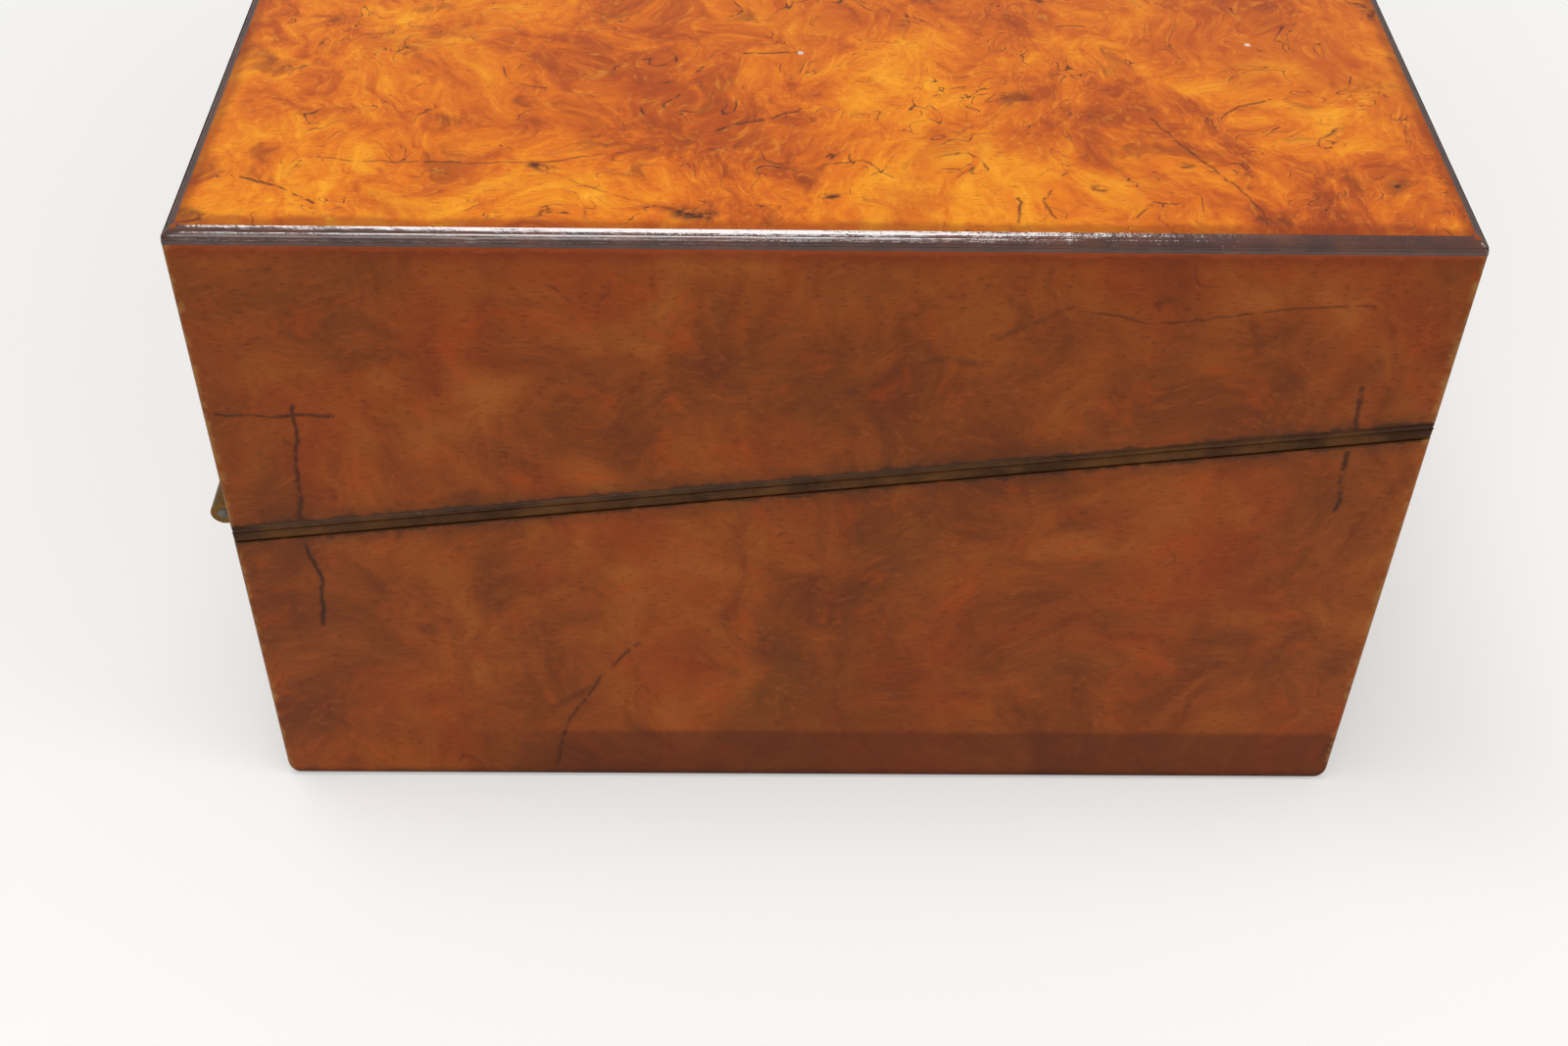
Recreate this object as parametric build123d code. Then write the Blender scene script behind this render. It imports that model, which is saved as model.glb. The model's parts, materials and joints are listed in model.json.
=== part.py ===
from build123d import *
import os
from math import atan2, cos, degrees, sin, tan

# A closed writing slope: a veneered box sawn through on a slant, whose lid turns over on its
# hinges to lie in front of the base, so that the two flaps make one sloping writing surface.
# Millimetres. X runs from the hinge side to the lock side, Y along the hinge line and Z up.
# The origin is the middle of the underside. The near end is the one at negative Y.

# Case
case_depth = 241.0
case_length = 356.0
case_height = 152.0
lock_rim_height = 107.0
kerf = 0.3
veneer = 1.0
side_wall = 14.0
end_wall = 10.0
bottom_board = 8.0
top_board = 9.0
board_rebate = 5.0
tongue_length = 5.0
tongue_thickness = 5.0
arris_radius = 0.9
foot_radius = 5.0
end_foot_radius = 1.5
bead = 3.2
bead_radius = 2.8
string_width = 3.0
string_thickness = 2.0

# Main hinges
hinge_offset = 3.1
hinge_end_distance = 7.0
hinge_length = 50.0
knuckle_count = 5
knuckle_radius = 2.75
knuckle_gap = 0.2
hinge_pin_radius = 1.25
pin_clearance = 0.05
leaf_thickness = 1.5
leaf_width = 12.0
leaf_setback = 0.5
hinge_screw_count = 3
hinge_screw_margin = 8.0

# Screws
screw_head_radius = 2.4
screw_head_depth = 1.2
screw_shank_radius = 1.2
screw_length = 10.0
screw_slot_width = 0.6
screw_slot_depth = 0.5

# Writing flaps
flap_recess = 0.8
flap_thickness = 7.0
flap_side_gap = 0.5
flap_hinge_gap = 2.2
leather = 1.0
leather_margin = 17.0
ledge_width = 8.0
ledge_thickness = 8.0
butt_length = 28.0
butt_end_distance = 55.0
butt_leaf = 0.8
butt_leaf_height = 5.5
butt_radius = 1.4
butt_pin_radius = 0.5
butt_knuckle_gap = 0.2

# Till for pens, stamps and ink, at the lock side
till_width = 52.5
till_wall = 5.0
till_floor = 4.0
till_floor_height = 34.0
till_recess = 1.3
ink_cell_length = 42.0
stamp_cell_length = 62.0
till_fit = 0.4

# Pen tray
tray_thickness = 16.0
tray_below_rim = 3.0
tray_bearer_width = 4.0
tray_bearer_height = 6.0
trough_radius = 24.0
trough_depth = 9.0
trough_end_margin = 10.0

# Stamp box cover
stamp_lid_thickness = 3.5
stamp_lid_below_rim = 8.0
stamp_knob_radius = 3.0
stamp_knob_height = 4.0

# Inkwells
well_width = 32.0
well_height = 33.0
well_corner_radius = 3.0
well_shoulder = 2.0
well_neck_radius = 9.5
well_neck_height = 4.5
well_bore_radius = 7.5
well_bore_depth = 30.0
well_pad = 1.5
collar_radius = 11.5
collar_height = 4.0
cap_radius = 11.5
cap_rim_height = 2.5
cap_dome_height = 3.0
cap_wall = 1.0
cap_gap = 0.3
cap_knuckle_radius = 1.5
cap_knuckle_length = 4.0
cap_knuckle_gap = 0.2
cap_pin_radius = 0.6

# Lock
lock_case_length = 60.0
lock_case_thickness = 11.0
lock_case_height = 28.0
lock_sheet = 1.0
selvedge_length = 78.0
selvedge_inset = 0.4
selvedge_thickness = 2.0
loop_spacing = 32.0
loop_width = 5.6
loop_thickness = 2.6
loop_drop = 9.0
loop_eye_width = 3.4
loop_eye_height = 3.8
loop_eye_drop = 3.4
loop_clearance = 0.5
link_plate_thickness = 1.5
bolt_travel = 5.0
bolt_clearance = 0.3
bolt_bar_height = 8.0
bolt_prong = 2.4
bolt_riser = 3.0
keyhole_radius = 2.3
keyhole_slot_width = 2.0
keyhole_slot_drop = 6.5
keyhole_below_bolt = 3.2
drill_pin_radius = 0.9
escutcheon_half_width = 7.0
escutcheon_half_height = 10.5
escutcheon_thickness = 1.2
escutcheon_proud = 0.2

# Flap catch in the lid
catch_offset = 92.0
catch_plate_length = 22.0
catch_plate_thickness = 1.0
catch_bolt_width = 6.0
catch_bolt_thickness = 2.4
catch_reach = 3.0
catch_travel = 4.0
catch_clearance = 0.3
catch_stud = 3.0

# Places worked out from the sizes above
half_depth = case_depth / 2
half_length = case_length / 2
wall_out_x = half_depth - veneer
wall_out_y = half_length - veneer
wall_in_x = wall_out_x - side_wall
wall_in_y = wall_out_y - end_wall
hinge_x = -half_depth - hinge_offset
hinge_z = case_height / 2
slant = atan2(lock_rim_height - hinge_z, half_depth - hinge_x)
slope = Plane(
    origin=(hinge_x, 0, hinge_z),
    x_dir=(cos(slant), 0, sin(slant)),
    z_dir=(-sin(slant), 0, cos(slant)),
)
half_kerf = kerf / 2
rim_depth = half_kerf + string_thickness
flap_face = half_kerf + flap_recess
flap_back = flap_face + flap_thickness
till_x = wall_in_x - till_width
far_away = 2 * (case_depth + case_length + case_height)


def block(x0, x1, y0, y1, z0, z1):
    """A box from its lowest to its highest corner."""
    middle = ((x0 + x1) / 2, (y0 + y1) / 2, (z0 + z1) / 2)
    return Pos(*middle) * Box(x1 - x0, y1 - y0, z1 - z0)


def slope_block(u0, u1, y0, y1, w0, w1):
    """A box in the slope's own frame: u up the slope from the hinge axis, w square to it."""
    return slope.location * block(u0, u1, y0, y1, w0, w1)


def below_slope(drop):
    """Everything lower than the slope by drop."""
    return slope_block(-far_away, far_away, -far_away, far_away, -far_away, -drop)


def above_slope(rise):
    """Everything higher than the slope by rise."""
    return slope_block(-far_away, far_away, -far_away, far_away, rise, far_away)


def slope_u(x, w=0.0):
    """How far up the slope the plane at x lies, for a point w above the slope."""
    return (x - hinge_x + w * sin(slant)) / cos(slant)


def slope_z(x):
    """Height of the slope at x."""
    return hinge_z + (x - hinge_x) * tan(slant)


def cylinder_y(radius, x, z, y0, y1):
    """A round bar along Y."""
    return Pos(x, (y0 + y1) / 2, z) * Rot(90, 0, 0) * Cylinder(radius, y1 - y0)


def cylinder_x(radius, x0, x1, y, z):
    """A round bar along X."""
    return Pos((x0 + x1) / 2, y, z) * Rot(0, 90, 0) * Cylinder(radius, x1 - x0)


def footprint(inset):
    """The case's plan taken in by inset all round, as a tall block."""
    x, y = half_depth - inset, half_length - inset
    return block(-x, x, -y, y, -far_away, far_away)


def quarter(side, x_share, y_share):
    """One side's share of a mitred frame. The mitres run in by x_share and y_share."""
    x, y = half_depth, half_length
    corners = {
        "near": [(-x, -y), (x, -y), (x - x_share, -y + y_share), (-x + x_share, -y + y_share)],
        "far": [(x, y), (-x, y), (-x + x_share, y - y_share), (x - x_share, y - y_share)],
        "hinge": [(-x, y), (-x, -y), (-x + x_share, -y + y_share), (-x + x_share, y - y_share)],
        "lock": [(x, -y), (x, y), (x - x_share, y - y_share), (x - x_share, -y + y_share)],
    }[side]
    outline = make_face(Polyline(*corners, close=True))
    return extrude(outline, amount=case_height + hinge_z, both=True)


def case_envelope():
    """The outside of the closed case, with its worn edges, as three crossed profiles."""
    end_view = Plane.XZ * Pos(0, case_height / 2) * Rectangle(case_depth, case_height)
    end_view = fillet(end_view.vertices().group_by(Axis.Z)[0], foot_radius)
    end_view = fillet(end_view.vertices().group_by(Axis.Z)[-1], bead_radius)
    side_view = Plane.YZ * Pos(0, case_height / 2) * Rectangle(case_length, case_height)
    side_view = fillet(side_view.vertices().group_by(Axis.Z)[0], end_foot_radius)
    side_view = fillet(side_view.vertices().group_by(Axis.Z)[-1], bead_radius)
    plan = fillet(Rectangle(case_depth, case_length).vertices(), arris_radius)
    along_y = extrude(end_view, amount=half_length, both=True)
    along_x = extrude(side_view, amount=half_depth, both=True)
    along_z = extrude(plan, amount=case_height)
    return along_y & along_x & along_z


sides = ("near", "far", "hinge", "lock")
envelope = case_envelope()
shell = envelope - footprint(veneer)
base_zone = below_slope(rim_depth)
lid_zone = above_slope(rim_depth)
cavity = block(-wall_in_x, wall_in_x, -wall_in_y, wall_in_y, -far_away, far_away)
bead_floor = case_height - bead


def bottom_panel():
    x, y = wall_in_x + board_rebate, wall_in_y + board_rebate
    return block(-x, x, -y, y, 0, bottom_board)


def top_panel():
    x, y = wall_in_x + board_rebate, wall_in_y + board_rebate
    top = case_height - veneer
    return block(-x, x, -y, y, top - top_board, top)


def end_board(direction):
    """A full-height end wall, tongued into the hinge and lock walls."""
    reach = wall_in_x + tongue_length
    inner, outer = wall_in_y, wall_out_y
    board = block(-wall_in_x, wall_in_x, inner, outer, 0, case_height - veneer)
    tongue = block(-reach, reach, inner, inner + tongue_thickness, 0, case_height - veneer)
    return Rot(0, 0, 180 if direction < 0 else 0) * (board + tongue)


def case_walls():
    """The four full-height walls before sawing, rebated for the top and bottom boards."""
    ends = {"near": end_board(-1), "far": end_board(1)}
    tall = case_height - veneer
    hinge_side = block(-wall_out_x, -wall_in_x, -wall_out_y, wall_out_y, 0, tall)
    lock_side = block(wall_in_x, wall_out_x, -wall_out_y, wall_out_y, 0, tall)
    walls = {
        **ends,
        "hinge": hinge_side - ends["near"] - ends["far"],
        "lock": lock_side - ends["near"] - ends["far"],
    }
    bead_groove = block(
        -half_depth, half_depth, -half_length, half_length, bead_floor, case_height
    ) - footprint(bead)
    rebates = bottom_panel() + top_panel() + bead_groove
    return {side: (walls[side] - rebates) & envelope for side in sides}


def rim_ring(outer, inner, w0, w1):
    """A frame in the slope's plane between two footprints."""
    slab = slope_block(-far_away, far_away, -far_away, far_away, w0, w1)
    return (outer - inner) & slab & envelope


def edge_bead(side):
    """Dark quarter-round moulding along one top edge, mitred at its ends."""
    band = (envelope - footprint(bead)) & block(
        -half_depth, half_depth, -half_length, half_length, bead_floor, case_height
    )
    return band & quarter(side, bead, bead)


def stringing(side, w0, w1):
    """Dark square line round the outside of a rim."""
    ring = rim_ring(footprint(0), footprint(string_width), w0, w1)
    return ring & quarter(side, string_width, string_width)


def rim_facings(w0, w1):
    """Walnut strips on the rest of a rim, mitred from corner to corner."""
    ring = rim_ring(footprint(string_width), cavity, w0, w1)
    x_share, y_share = veneer + side_wall, veneer + end_wall
    return [ring & quarter(side, x_share, y_share) for side in sides]


def screw_body():
    """A countersunk screw pointing down, its head's face at the origin."""
    head = Pos(0, 0, -screw_head_depth / 2) * Cone(
        screw_shank_radius, screw_head_radius, screw_head_depth
    )
    shank = Pos(0, 0, -screw_length / 2) * Cylinder(screw_shank_radius, screw_length)
    return head + shank


def slotted_screw():
    slot = Pos(0, 0, -screw_slot_depth / 2) * Box(
        2 * screw_head_radius + kerf, screw_slot_width, screw_slot_depth
    )
    return screw_body() - slot


def on_slope(u, y, w, facing):
    """Place on the slope with local Z pointing out of the base rim (1) or the lid rim (-1)."""
    turn = Rot(0, 0, 0) if facing > 0 else Rot(180, 0, 0)
    return slope.location * Pos(u, y, w) * turn


# Main hinges
leaf_u0 = knuckle_radius + leaf_setback
leaf_u1 = leaf_u0 + leaf_width
hinge_spans = {
    "near": (-half_length + hinge_end_distance, -half_length + hinge_end_distance + hinge_length),
    "far": (half_length - hinge_end_distance - hinge_length, half_length - hinge_end_distance),
}


def hinge_leaf(span, facing):
    """One leaf with its own knuckles. facing is 1 for the base's leaf and -1 for the lid's."""
    y0, y1 = span
    w0, w1 = sorted((-facing * half_kerf, -facing * (half_kerf + leaf_thickness)))
    leaf = slope_block(leaf_u0, leaf_u1, y0, y1, w0, w1)
    pitch = (y1 - y0) / knuckle_count
    first = 0 if facing > 0 else 1
    for n in range(first, knuckle_count, 2):
        k0 = y0 + n * pitch + knuckle_gap / 2
        k1 = y0 + (n + 1) * pitch - knuckle_gap / 2
        leaf += cylinder_y(knuckle_radius, hinge_x, hinge_z, k0, k1)
        leaf += slope_block(0, leaf_u0, k0, k1, w0, w1)
    bore = cylinder_y(hinge_pin_radius + pin_clearance, hinge_x, hinge_z, y0, y1)
    return leaf - bore


def hinge_pin(span):
    return cylinder_y(hinge_pin_radius, hinge_x, hinge_z, *span)


def hinge_screw_places(facing):
    """Where the screws of all leaves on one rim stand."""
    u = (leaf_u0 + leaf_u1) / 2
    places = []
    for y0, y1 in hinge_spans.values():
        step = (y1 - y0 - 2 * hinge_screw_margin) / (hinge_screw_count - 1)
        for n in range(hinge_screw_count):
            y = y0 + hinge_screw_margin + n * step
            places.append(on_slope(u, y, -facing * half_kerf, facing))
    return places


# Lock
selvedge_u0 = slope_u(wall_in_x + selvedge_inset, -rim_depth)
selvedge_u1 = slope_u(half_depth - string_width, -rim_depth)
lock_x0 = wall_in_x
lock_x1 = wall_in_x + lock_case_thickness
loop_x = (lock_x0 + lock_x1) / 2
loop_u = slope_u(loop_x, -loop_drop / 2)
loop_tip_z = slope_z(loop_x) - loop_drop
bolt_top = loop_tip_z - loop_clearance - 1.0
bolt_bottom = bolt_top - bolt_bar_height
bolt_prong_length = bolt_travel + bolt_riser
lock_floor = slope_z(loop_x) - lock_case_height
keyhole_z = bolt_bottom - keyhole_below_bolt
loop_places = (-loop_spacing / 2, loop_spacing / 2)
lock_screw_y = (selvedge_length + lock_case_length) / 4


def lock_outline():
    """The space that the lock takes in the wall and the rim."""
    body = block(
        lock_x0, lock_x1, -lock_case_length / 2, lock_case_length / 2, lock_floor, far_away
    )
    plate = slope_block(
        selvedge_u0,
        selvedge_u1,
        -selvedge_length / 2,
        selvedge_length / 2,
        -half_kerf - selvedge_thickness,
        -half_kerf,
    )
    return (body & below_slope(half_kerf + selvedge_thickness)) + plate


def lock_room():
    """The hollow inside the lock, under its top plate."""
    half = lock_case_length / 2 - lock_sheet
    room = block(
        lock_x0 + lock_sheet,
        lock_x1 - lock_sheet,
        -half,
        half,
        lock_floor + lock_sheet,
        far_away,
    )
    return room & below_slope(half_kerf + selvedge_thickness)


def loop_holes():
    """Slots in the top plate that the lid's loops drop through."""
    half_u = loop_width / 2 + loop_clearance
    half_y = loop_thickness / 2 + loop_clearance
    holes = []
    for y in loop_places:
        holes.append(
            slope_block(
                loop_u - half_u,
                loop_u + half_u,
                y - half_y,
                y + half_y,
                -half_kerf - selvedge_thickness,
                0,
            )
        )
    return holes[0] + holes[1]


def keyhole(x0, x1):
    """A keyhole through everything between two planes."""
    low = keyhole_z - keyhole_slot_drop
    slot = block(x0, x1, -keyhole_slot_width / 2, keyhole_slot_width / 2, low, keyhole_z)
    return cylinder_x(keyhole_radius, x0, x1, 0, keyhole_z) + slot


def lock_case():
    pin = cylinder_x(drill_pin_radius, lock_x0 + lock_sheet / 2, wall_out_x, 0, keyhole_z)
    case = lock_outline() - lock_room() - loop_holes()
    case -= keyhole(lock_x1 - lock_sheet, lock_x1)
    return case + pin


def lock_bolt():
    """The sliding bolt: a flat bar with two raised hooks brazed on, which enter the loops."""
    x0 = lock_x0 + lock_sheet + bolt_clearance
    x1 = lock_x1 - lock_sheet - bolt_clearance
    prong_w = -loop_eye_drop - loop_eye_height / 2
    hooks = []
    tips = []
    for y in loop_places:
        tip = y - loop_thickness / 2 - loop_clearance
        tips.append(tip)
        root = tip - bolt_prong_length
        prong = slope_block(
            loop_u - bolt_prong / 2,
            loop_u + bolt_prong / 2,
            root,
            tip,
            prong_w - bolt_prong / 2,
            prong_w + bolt_prong / 2,
        )
        riser = slope_block(
            loop_u - bolt_prong / 2,
            loop_u + bolt_prong / 2,
            root,
            root + bolt_riser - bolt_clearance,
            prong_w - loop_drop,
            prong_w,
        )
        above_bar = block(x0, x1, -far_away, far_away, bolt_top, far_away)
        hooks.append((prong + riser) & above_bar)
    bar_y0 = tips[0] - bolt_prong_length
    bar_y1 = tips[1] - bolt_prong_length + bolt_riser
    return [block(x0, x1, bar_y0, bar_y1, bolt_bottom, bolt_top), *hooks]


def link_plate():
    """The lid's half of the lock: a plate with two eyed loops riveted through it."""
    plate = slope_block(
        selvedge_u0,
        selvedge_u1,
        -selvedge_length / 2,
        selvedge_length / 2,
        half_kerf,
        half_kerf + link_plate_thickness,
    )
    loops = []
    for y in loop_places:
        loop = slope_block(
            loop_u - loop_width / 2,
            loop_u + loop_width / 2,
            y - loop_thickness / 2,
            y + loop_thickness / 2,
            -loop_drop,
            half_kerf + link_plate_thickness,
        )
        eye = slope_block(
            loop_u - loop_eye_width / 2,
            loop_u + loop_eye_width / 2,
            y - loop_thickness,
            y + loop_thickness,
            -loop_eye_drop - loop_eye_height,
            -loop_eye_drop,
        )
        plate -= loop
        loops.append(loop - eye)
    return plate, loops


def lock_screw_places(facing):
    u = (selvedge_u0 + selvedge_u1) / 2
    w = -facing * half_kerf
    return [on_slope(u, y, w, facing) for y in (-lock_screw_y, lock_screw_y)]


def escutcheon():
    x1 = half_depth + escutcheon_proud
    face = Ellipse(escutcheon_half_width, escutcheon_half_height)
    z = keyhole_z - keyhole_slot_drop / 2 + keyhole_radius / 2
    plate = extrude(Plane.YZ.offset(x1) * Pos(0, z) * face, amount=-escutcheon_thickness)
    return plate


# Flap catch
catch_y0 = -catch_offset - catch_plate_length / 2
catch_y1 = -catch_offset + catch_plate_length / 2
catch_w0 = half_kerf + catch_plate_thickness
catch_w1 = catch_w0 + catch_bolt_thickness
flap_end_u = slope_u(wall_in_x, flap_face) - flap_side_gap
catch_u0 = flap_end_u - catch_reach
catch_u1 = slope_u(half_depth - string_width, catch_w0) - catch_travel - 2 * catch_clearance
stud_u0 = slope_u(wall_in_x, half_kerf) + 1.6


def catch_bolt():
    """Sliding tongue with a flush stud for the thumb."""
    half = catch_bolt_width / 2
    y = -catch_offset
    tongue = slope_block(catch_u0, catch_u1, y - half, y + half, catch_w0, catch_w1)
    stud = slope_block(
        stud_u0,
        stud_u0 + catch_stud,
        y - catch_stud / 2,
        y + catch_stud / 2,
        half_kerf,
        catch_w0,
    )
    return tongue + stud


def catch_channel():
    """The groove that the tongue runs in, through the wall and into the flap's edge."""
    half = catch_bolt_width / 2 + catch_clearance
    y = -catch_offset
    return slope_block(
        catch_u0 - catch_clearance,
        catch_u1 + catch_travel + catch_clearance,
        y - half,
        y + half,
        catch_w0,
        catch_w1 + catch_clearance,
    )


def catch_plate_block():
    u0 = slope_u(wall_in_x, half_kerf)
    u1 = slope_u(half_depth - string_width, half_kerf)
    return slope_block(u0, u1, catch_y0, catch_y1, half_kerf, half_kerf + catch_plate_thickness)


def catch_plate():
    y = -catch_offset
    half = catch_stud / 2 + catch_clearance
    slot = slope_block(
        stud_u0 - catch_clearance,
        stud_u0 + catch_stud + catch_travel + catch_clearance,
        y - half,
        y + half,
        0,
        catch_w0,
    )
    return catch_plate_block() - slot


def catch_screw_places():
    u = (slope_u(wall_in_x) + slope_u(half_depth - string_width)) / 2
    inset = (catch_plate_length - catch_bolt_width) / 4
    ys = (catch_y0 + inset, catch_y1 - inset)
    return [on_slope(u, y, half_kerf, -1) for y in ys]


# Writing flaps
flap_half_length = wall_in_y - flap_side_gap
base_flap_u0 = slope_u(-wall_in_x, -flap_face) + flap_hinge_gap
base_flap_u1 = slope_u(till_x - till_wall, -flap_back) - flap_side_gap
lid_flap_u0 = slope_u(-wall_in_x, flap_back) + flap_hinge_gap
lid_flap_u1 = flap_end_u
butt_places = (-wall_in_y + butt_end_distance, wall_in_y - butt_end_distance - butt_length)


def writing_flap(u0, u1, facing):
    """A flap's board, let in for its leather."""
    w0, w1 = sorted((-facing * flap_face, -facing * flap_back))
    board = slope_block(u0, u1, -flap_half_length, flap_half_length, w0, w1)
    return board - flap_leather(u0, u1, facing)


def flap_leather(u0, u1, facing):
    w0, w1 = sorted((-facing * flap_face, -facing * (flap_face + leather)))
    half = flap_half_length - leather_margin
    return slope_block(u0 + leather_margin, u1 - leather_margin, -half, half, w0, w1)


def flap_ledges(u0, u1, facing, cross_u):
    """Strips behind a flap: one on each end wall and one across, which it shuts against."""
    w0, w1 = sorted((-facing * flap_back, -facing * (flap_back + ledge_thickness)))
    strips = []
    for y0, y1 in (
        (-wall_in_y, -wall_in_y + ledge_width),
        (wall_in_y - ledge_width, wall_in_y),
    ):
        strips.append(slope_block(u0, cross_u[0], y0, y1, w0, w1))
    strips.append(slope_block(*cross_u, -wall_in_y, wall_in_y, w0, w1))
    return strips


def flap_butts(edge_u, facing):
    """Small brass butt hinges between a flap and the hinge wall: wall leaf, flap leaf and pin."""
    pieces = []
    centre_u = edge_u - flap_hinge_gap / 2
    centre_w = -facing * (flap_face + butt_radius)
    low, high = sorted((centre_w, centre_w - facing * butt_leaf_height))
    for y0 in butt_places:
        y1 = y0 + butt_length
        third = butt_length / 3
        gap = butt_knuckle_gap / 2
        barrel = slope.location * Pos(centre_u, 0, centre_w)
        bore = barrel * cylinder_y(butt_pin_radius + pin_clearance, 0, 0, y0, y1)
        wall_leaf = slope_block(
            centre_u - flap_hinge_gap / 2,
            centre_u - flap_hinge_gap / 2 + butt_leaf,
            y0,
            y1,
            low,
            high,
        )
        flap_leaf = slope_block(
            centre_u + flap_hinge_gap / 2 - butt_leaf,
            centre_u + flap_hinge_gap / 2,
            y0,
            y1,
            low,
            high,
        )
        middle = barrel * cylinder_y(butt_radius, 0, 0, y0 + third + gap, y1 - third - gap)
        middle_zone = slope_block(
            centre_u - 2 * butt_radius,
            centre_u + 2 * butt_radius,
            y0 + third - gap,
            y1 - third + gap,
            centre_w - butt_radius - gap,
            centre_w + butt_radius + gap,
        )
        outer_zones = slope_block(
            centre_u - 2 * butt_radius,
            centre_u + 2 * butt_radius,
            y0,
            y1,
            centre_w - butt_radius - gap,
            centre_w + butt_radius + gap,
        ) - slope_block(
            centre_u - 3 * butt_radius,
            centre_u + 3 * butt_radius,
            y0 + third + gap,
            y1 - third - gap,
            centre_w - 2 * butt_radius,
            centre_w + 2 * butt_radius,
        )
        outer = barrel * cylinder_y(butt_radius, 0, 0, y0, y0 + third - gap)
        outer += barrel * cylinder_y(butt_radius, 0, 0, y1 - third + gap, y1)
        pieces.append((wall_leaf - middle_zone) + outer - bore)
        pieces.append((flap_leaf - outer_zones) + middle - bore)
        pieces.append(barrel * cylinder_y(butt_pin_radius, 0, 0, y0, y1))
    return pieces


def butt_notches(edge_u, facing):
    """What the small hinges take out of the wall, rim facing and flap edge."""
    notches = []
    centre_w = -facing * (flap_face + butt_radius)
    reach = butt_radius + knuckle_gap
    for y0 in butt_places:
        notches.append(
            slope_block(
                edge_u - flap_hinge_gap - butt_radius,
                edge_u + butt_radius,
                y0 - knuckle_gap,
                y0 + butt_length + knuckle_gap,
                centre_w - reach,
                centre_w + reach,
            )
        )
    return notches[0] + notches[1]


# Till
cell_floor = till_floor_height + till_floor
near_ink_y = -wall_in_y + ink_cell_length
far_ink_y = wall_in_y - ink_cell_length
stamp_y = far_ink_y - till_wall - stamp_cell_length
partition_places = (near_ink_y, stamp_y - till_wall, far_ink_y - till_wall)
tray_y0 = near_ink_y + till_wall + till_fit
tray_y1 = stamp_y - till_wall - till_fit
tray_top = slope_z(till_x) - tray_below_rim
stamp_lid_top = slope_z(till_x) - stamp_lid_below_rim
well_x = (till_x + wall_in_x) / 2
well_places = {
    "near": -wall_in_y + ink_cell_length / 2,
    "far": wall_in_y - ink_cell_length / 2,
}
well_base = cell_floor + well_pad
well_top = well_base + well_height
neck_top = well_top + well_neck_height
cap_bottom = neck_top + cap_gap
cap_hinge_x = well_x + cap_radius + cap_knuckle_radius
cap_hinge_z = cap_bottom


def till_divider():
    top = case_height
    board = block(till_x - till_wall, till_x, -wall_in_y, wall_in_y, till_floor_height, top)
    return board & below_slope(half_kerf + till_recess)


def till_floor_board():
    return block(till_x, wall_in_x, -wall_in_y, wall_in_y, till_floor_height, cell_floor)


def till_partitions():
    boards = []
    for y in partition_places:
        board = block(till_x, wall_in_x, y, y + till_wall, cell_floor, case_height)
        boards.append(board & below_slope(half_kerf + till_recess))
    return boards


def tray_bearers():
    """Small blocks on the partitions that carry the pen tray and the stamp cover."""
    bearers = []
    spans = (
        (near_ink_y + till_wall, 1, tray_top - tray_thickness),
        (stamp_y - till_wall, -1, tray_top - tray_thickness),
        (stamp_y, 1, stamp_lid_top - stamp_lid_thickness),
        (far_ink_y - till_wall, -1, stamp_lid_top - stamp_lid_thickness),
    )
    for y, way, top in spans:
        y0, y1 = sorted((y, y + way * tray_bearer_width))
        bearers.append(block(till_x, wall_in_x, y0, y1, top - tray_bearer_height, top))
    return bearers


def pen_tray():
    """A lift-out tray with one long rounded trough."""
    body = block(
        till_x + till_fit,
        wall_in_x - till_fit,
        tray_y0,
        tray_y1,
        tray_top - tray_thickness,
        tray_top,
    )
    axis_z = tray_top - trough_depth + trough_radius
    half_chord = (trough_radius**2 - (trough_radius - trough_depth) ** 2) ** 0.5
    y0 = tray_y0 + trough_end_margin + half_chord
    y1 = tray_y1 - trough_end_margin - half_chord
    trough = cylinder_y(trough_radius, well_x, axis_z, y0, y1)
    trough += Pos(well_x, y0, axis_z) * Sphere(trough_radius)
    trough += Pos(well_x, y1, axis_z) * Sphere(trough_radius)
    return body - trough


def stamp_cover():
    """Loose cover over the stamp cell, with a turned knob."""
    panel = block(
        till_x + till_fit,
        wall_in_x - till_fit,
        stamp_y + till_fit,
        far_ink_y - till_wall - till_fit,
        stamp_lid_top - stamp_lid_thickness,
        stamp_lid_top,
    )
    y = (stamp_y + far_ink_y - till_wall) / 2
    stem = Pos(well_x, y, stamp_lid_top + stamp_knob_height / 4) * Cylinder(
        stamp_knob_radius / 2, stamp_knob_height / 2
    )
    head = Pos(well_x, y, stamp_lid_top + 3 * stamp_knob_height / 4) * Cylinder(
        stamp_knob_radius, stamp_knob_height / 2
    )
    head = fillet(head.edges().filter_by(GeomType.CIRCLE), stamp_knob_height / 6)
    return panel + stem + head


def ink_bottle(y):
    """A square moulded glass well with a round neck."""
    body = Pos(well_x, y, well_base) * extrude(
        RectangleRounded(well_width, well_width, well_corner_radius), amount=well_height
    )
    body = chamfer(body.faces().sort_by(Axis.Z)[-1].edges(), well_shoulder)
    neck = Pos(well_x, y, well_top + well_neck_height / 2) * Cylinder(
        well_neck_radius, well_neck_height
    )
    bore = Pos(well_x, y, neck_top - well_bore_depth / 2) * Cylinder(
        well_bore_radius, well_bore_depth
    )
    return body + neck - bore


def ink_pad(y):
    """Felt under a bottle."""
    return Pos(well_x, y, cell_floor + well_pad / 2) * Box(well_width, well_width, well_pad)


def cap_knuckle(y0, y1):
    return cylinder_y(cap_knuckle_radius, cap_hinge_x, cap_hinge_z, y0, y1)


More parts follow.
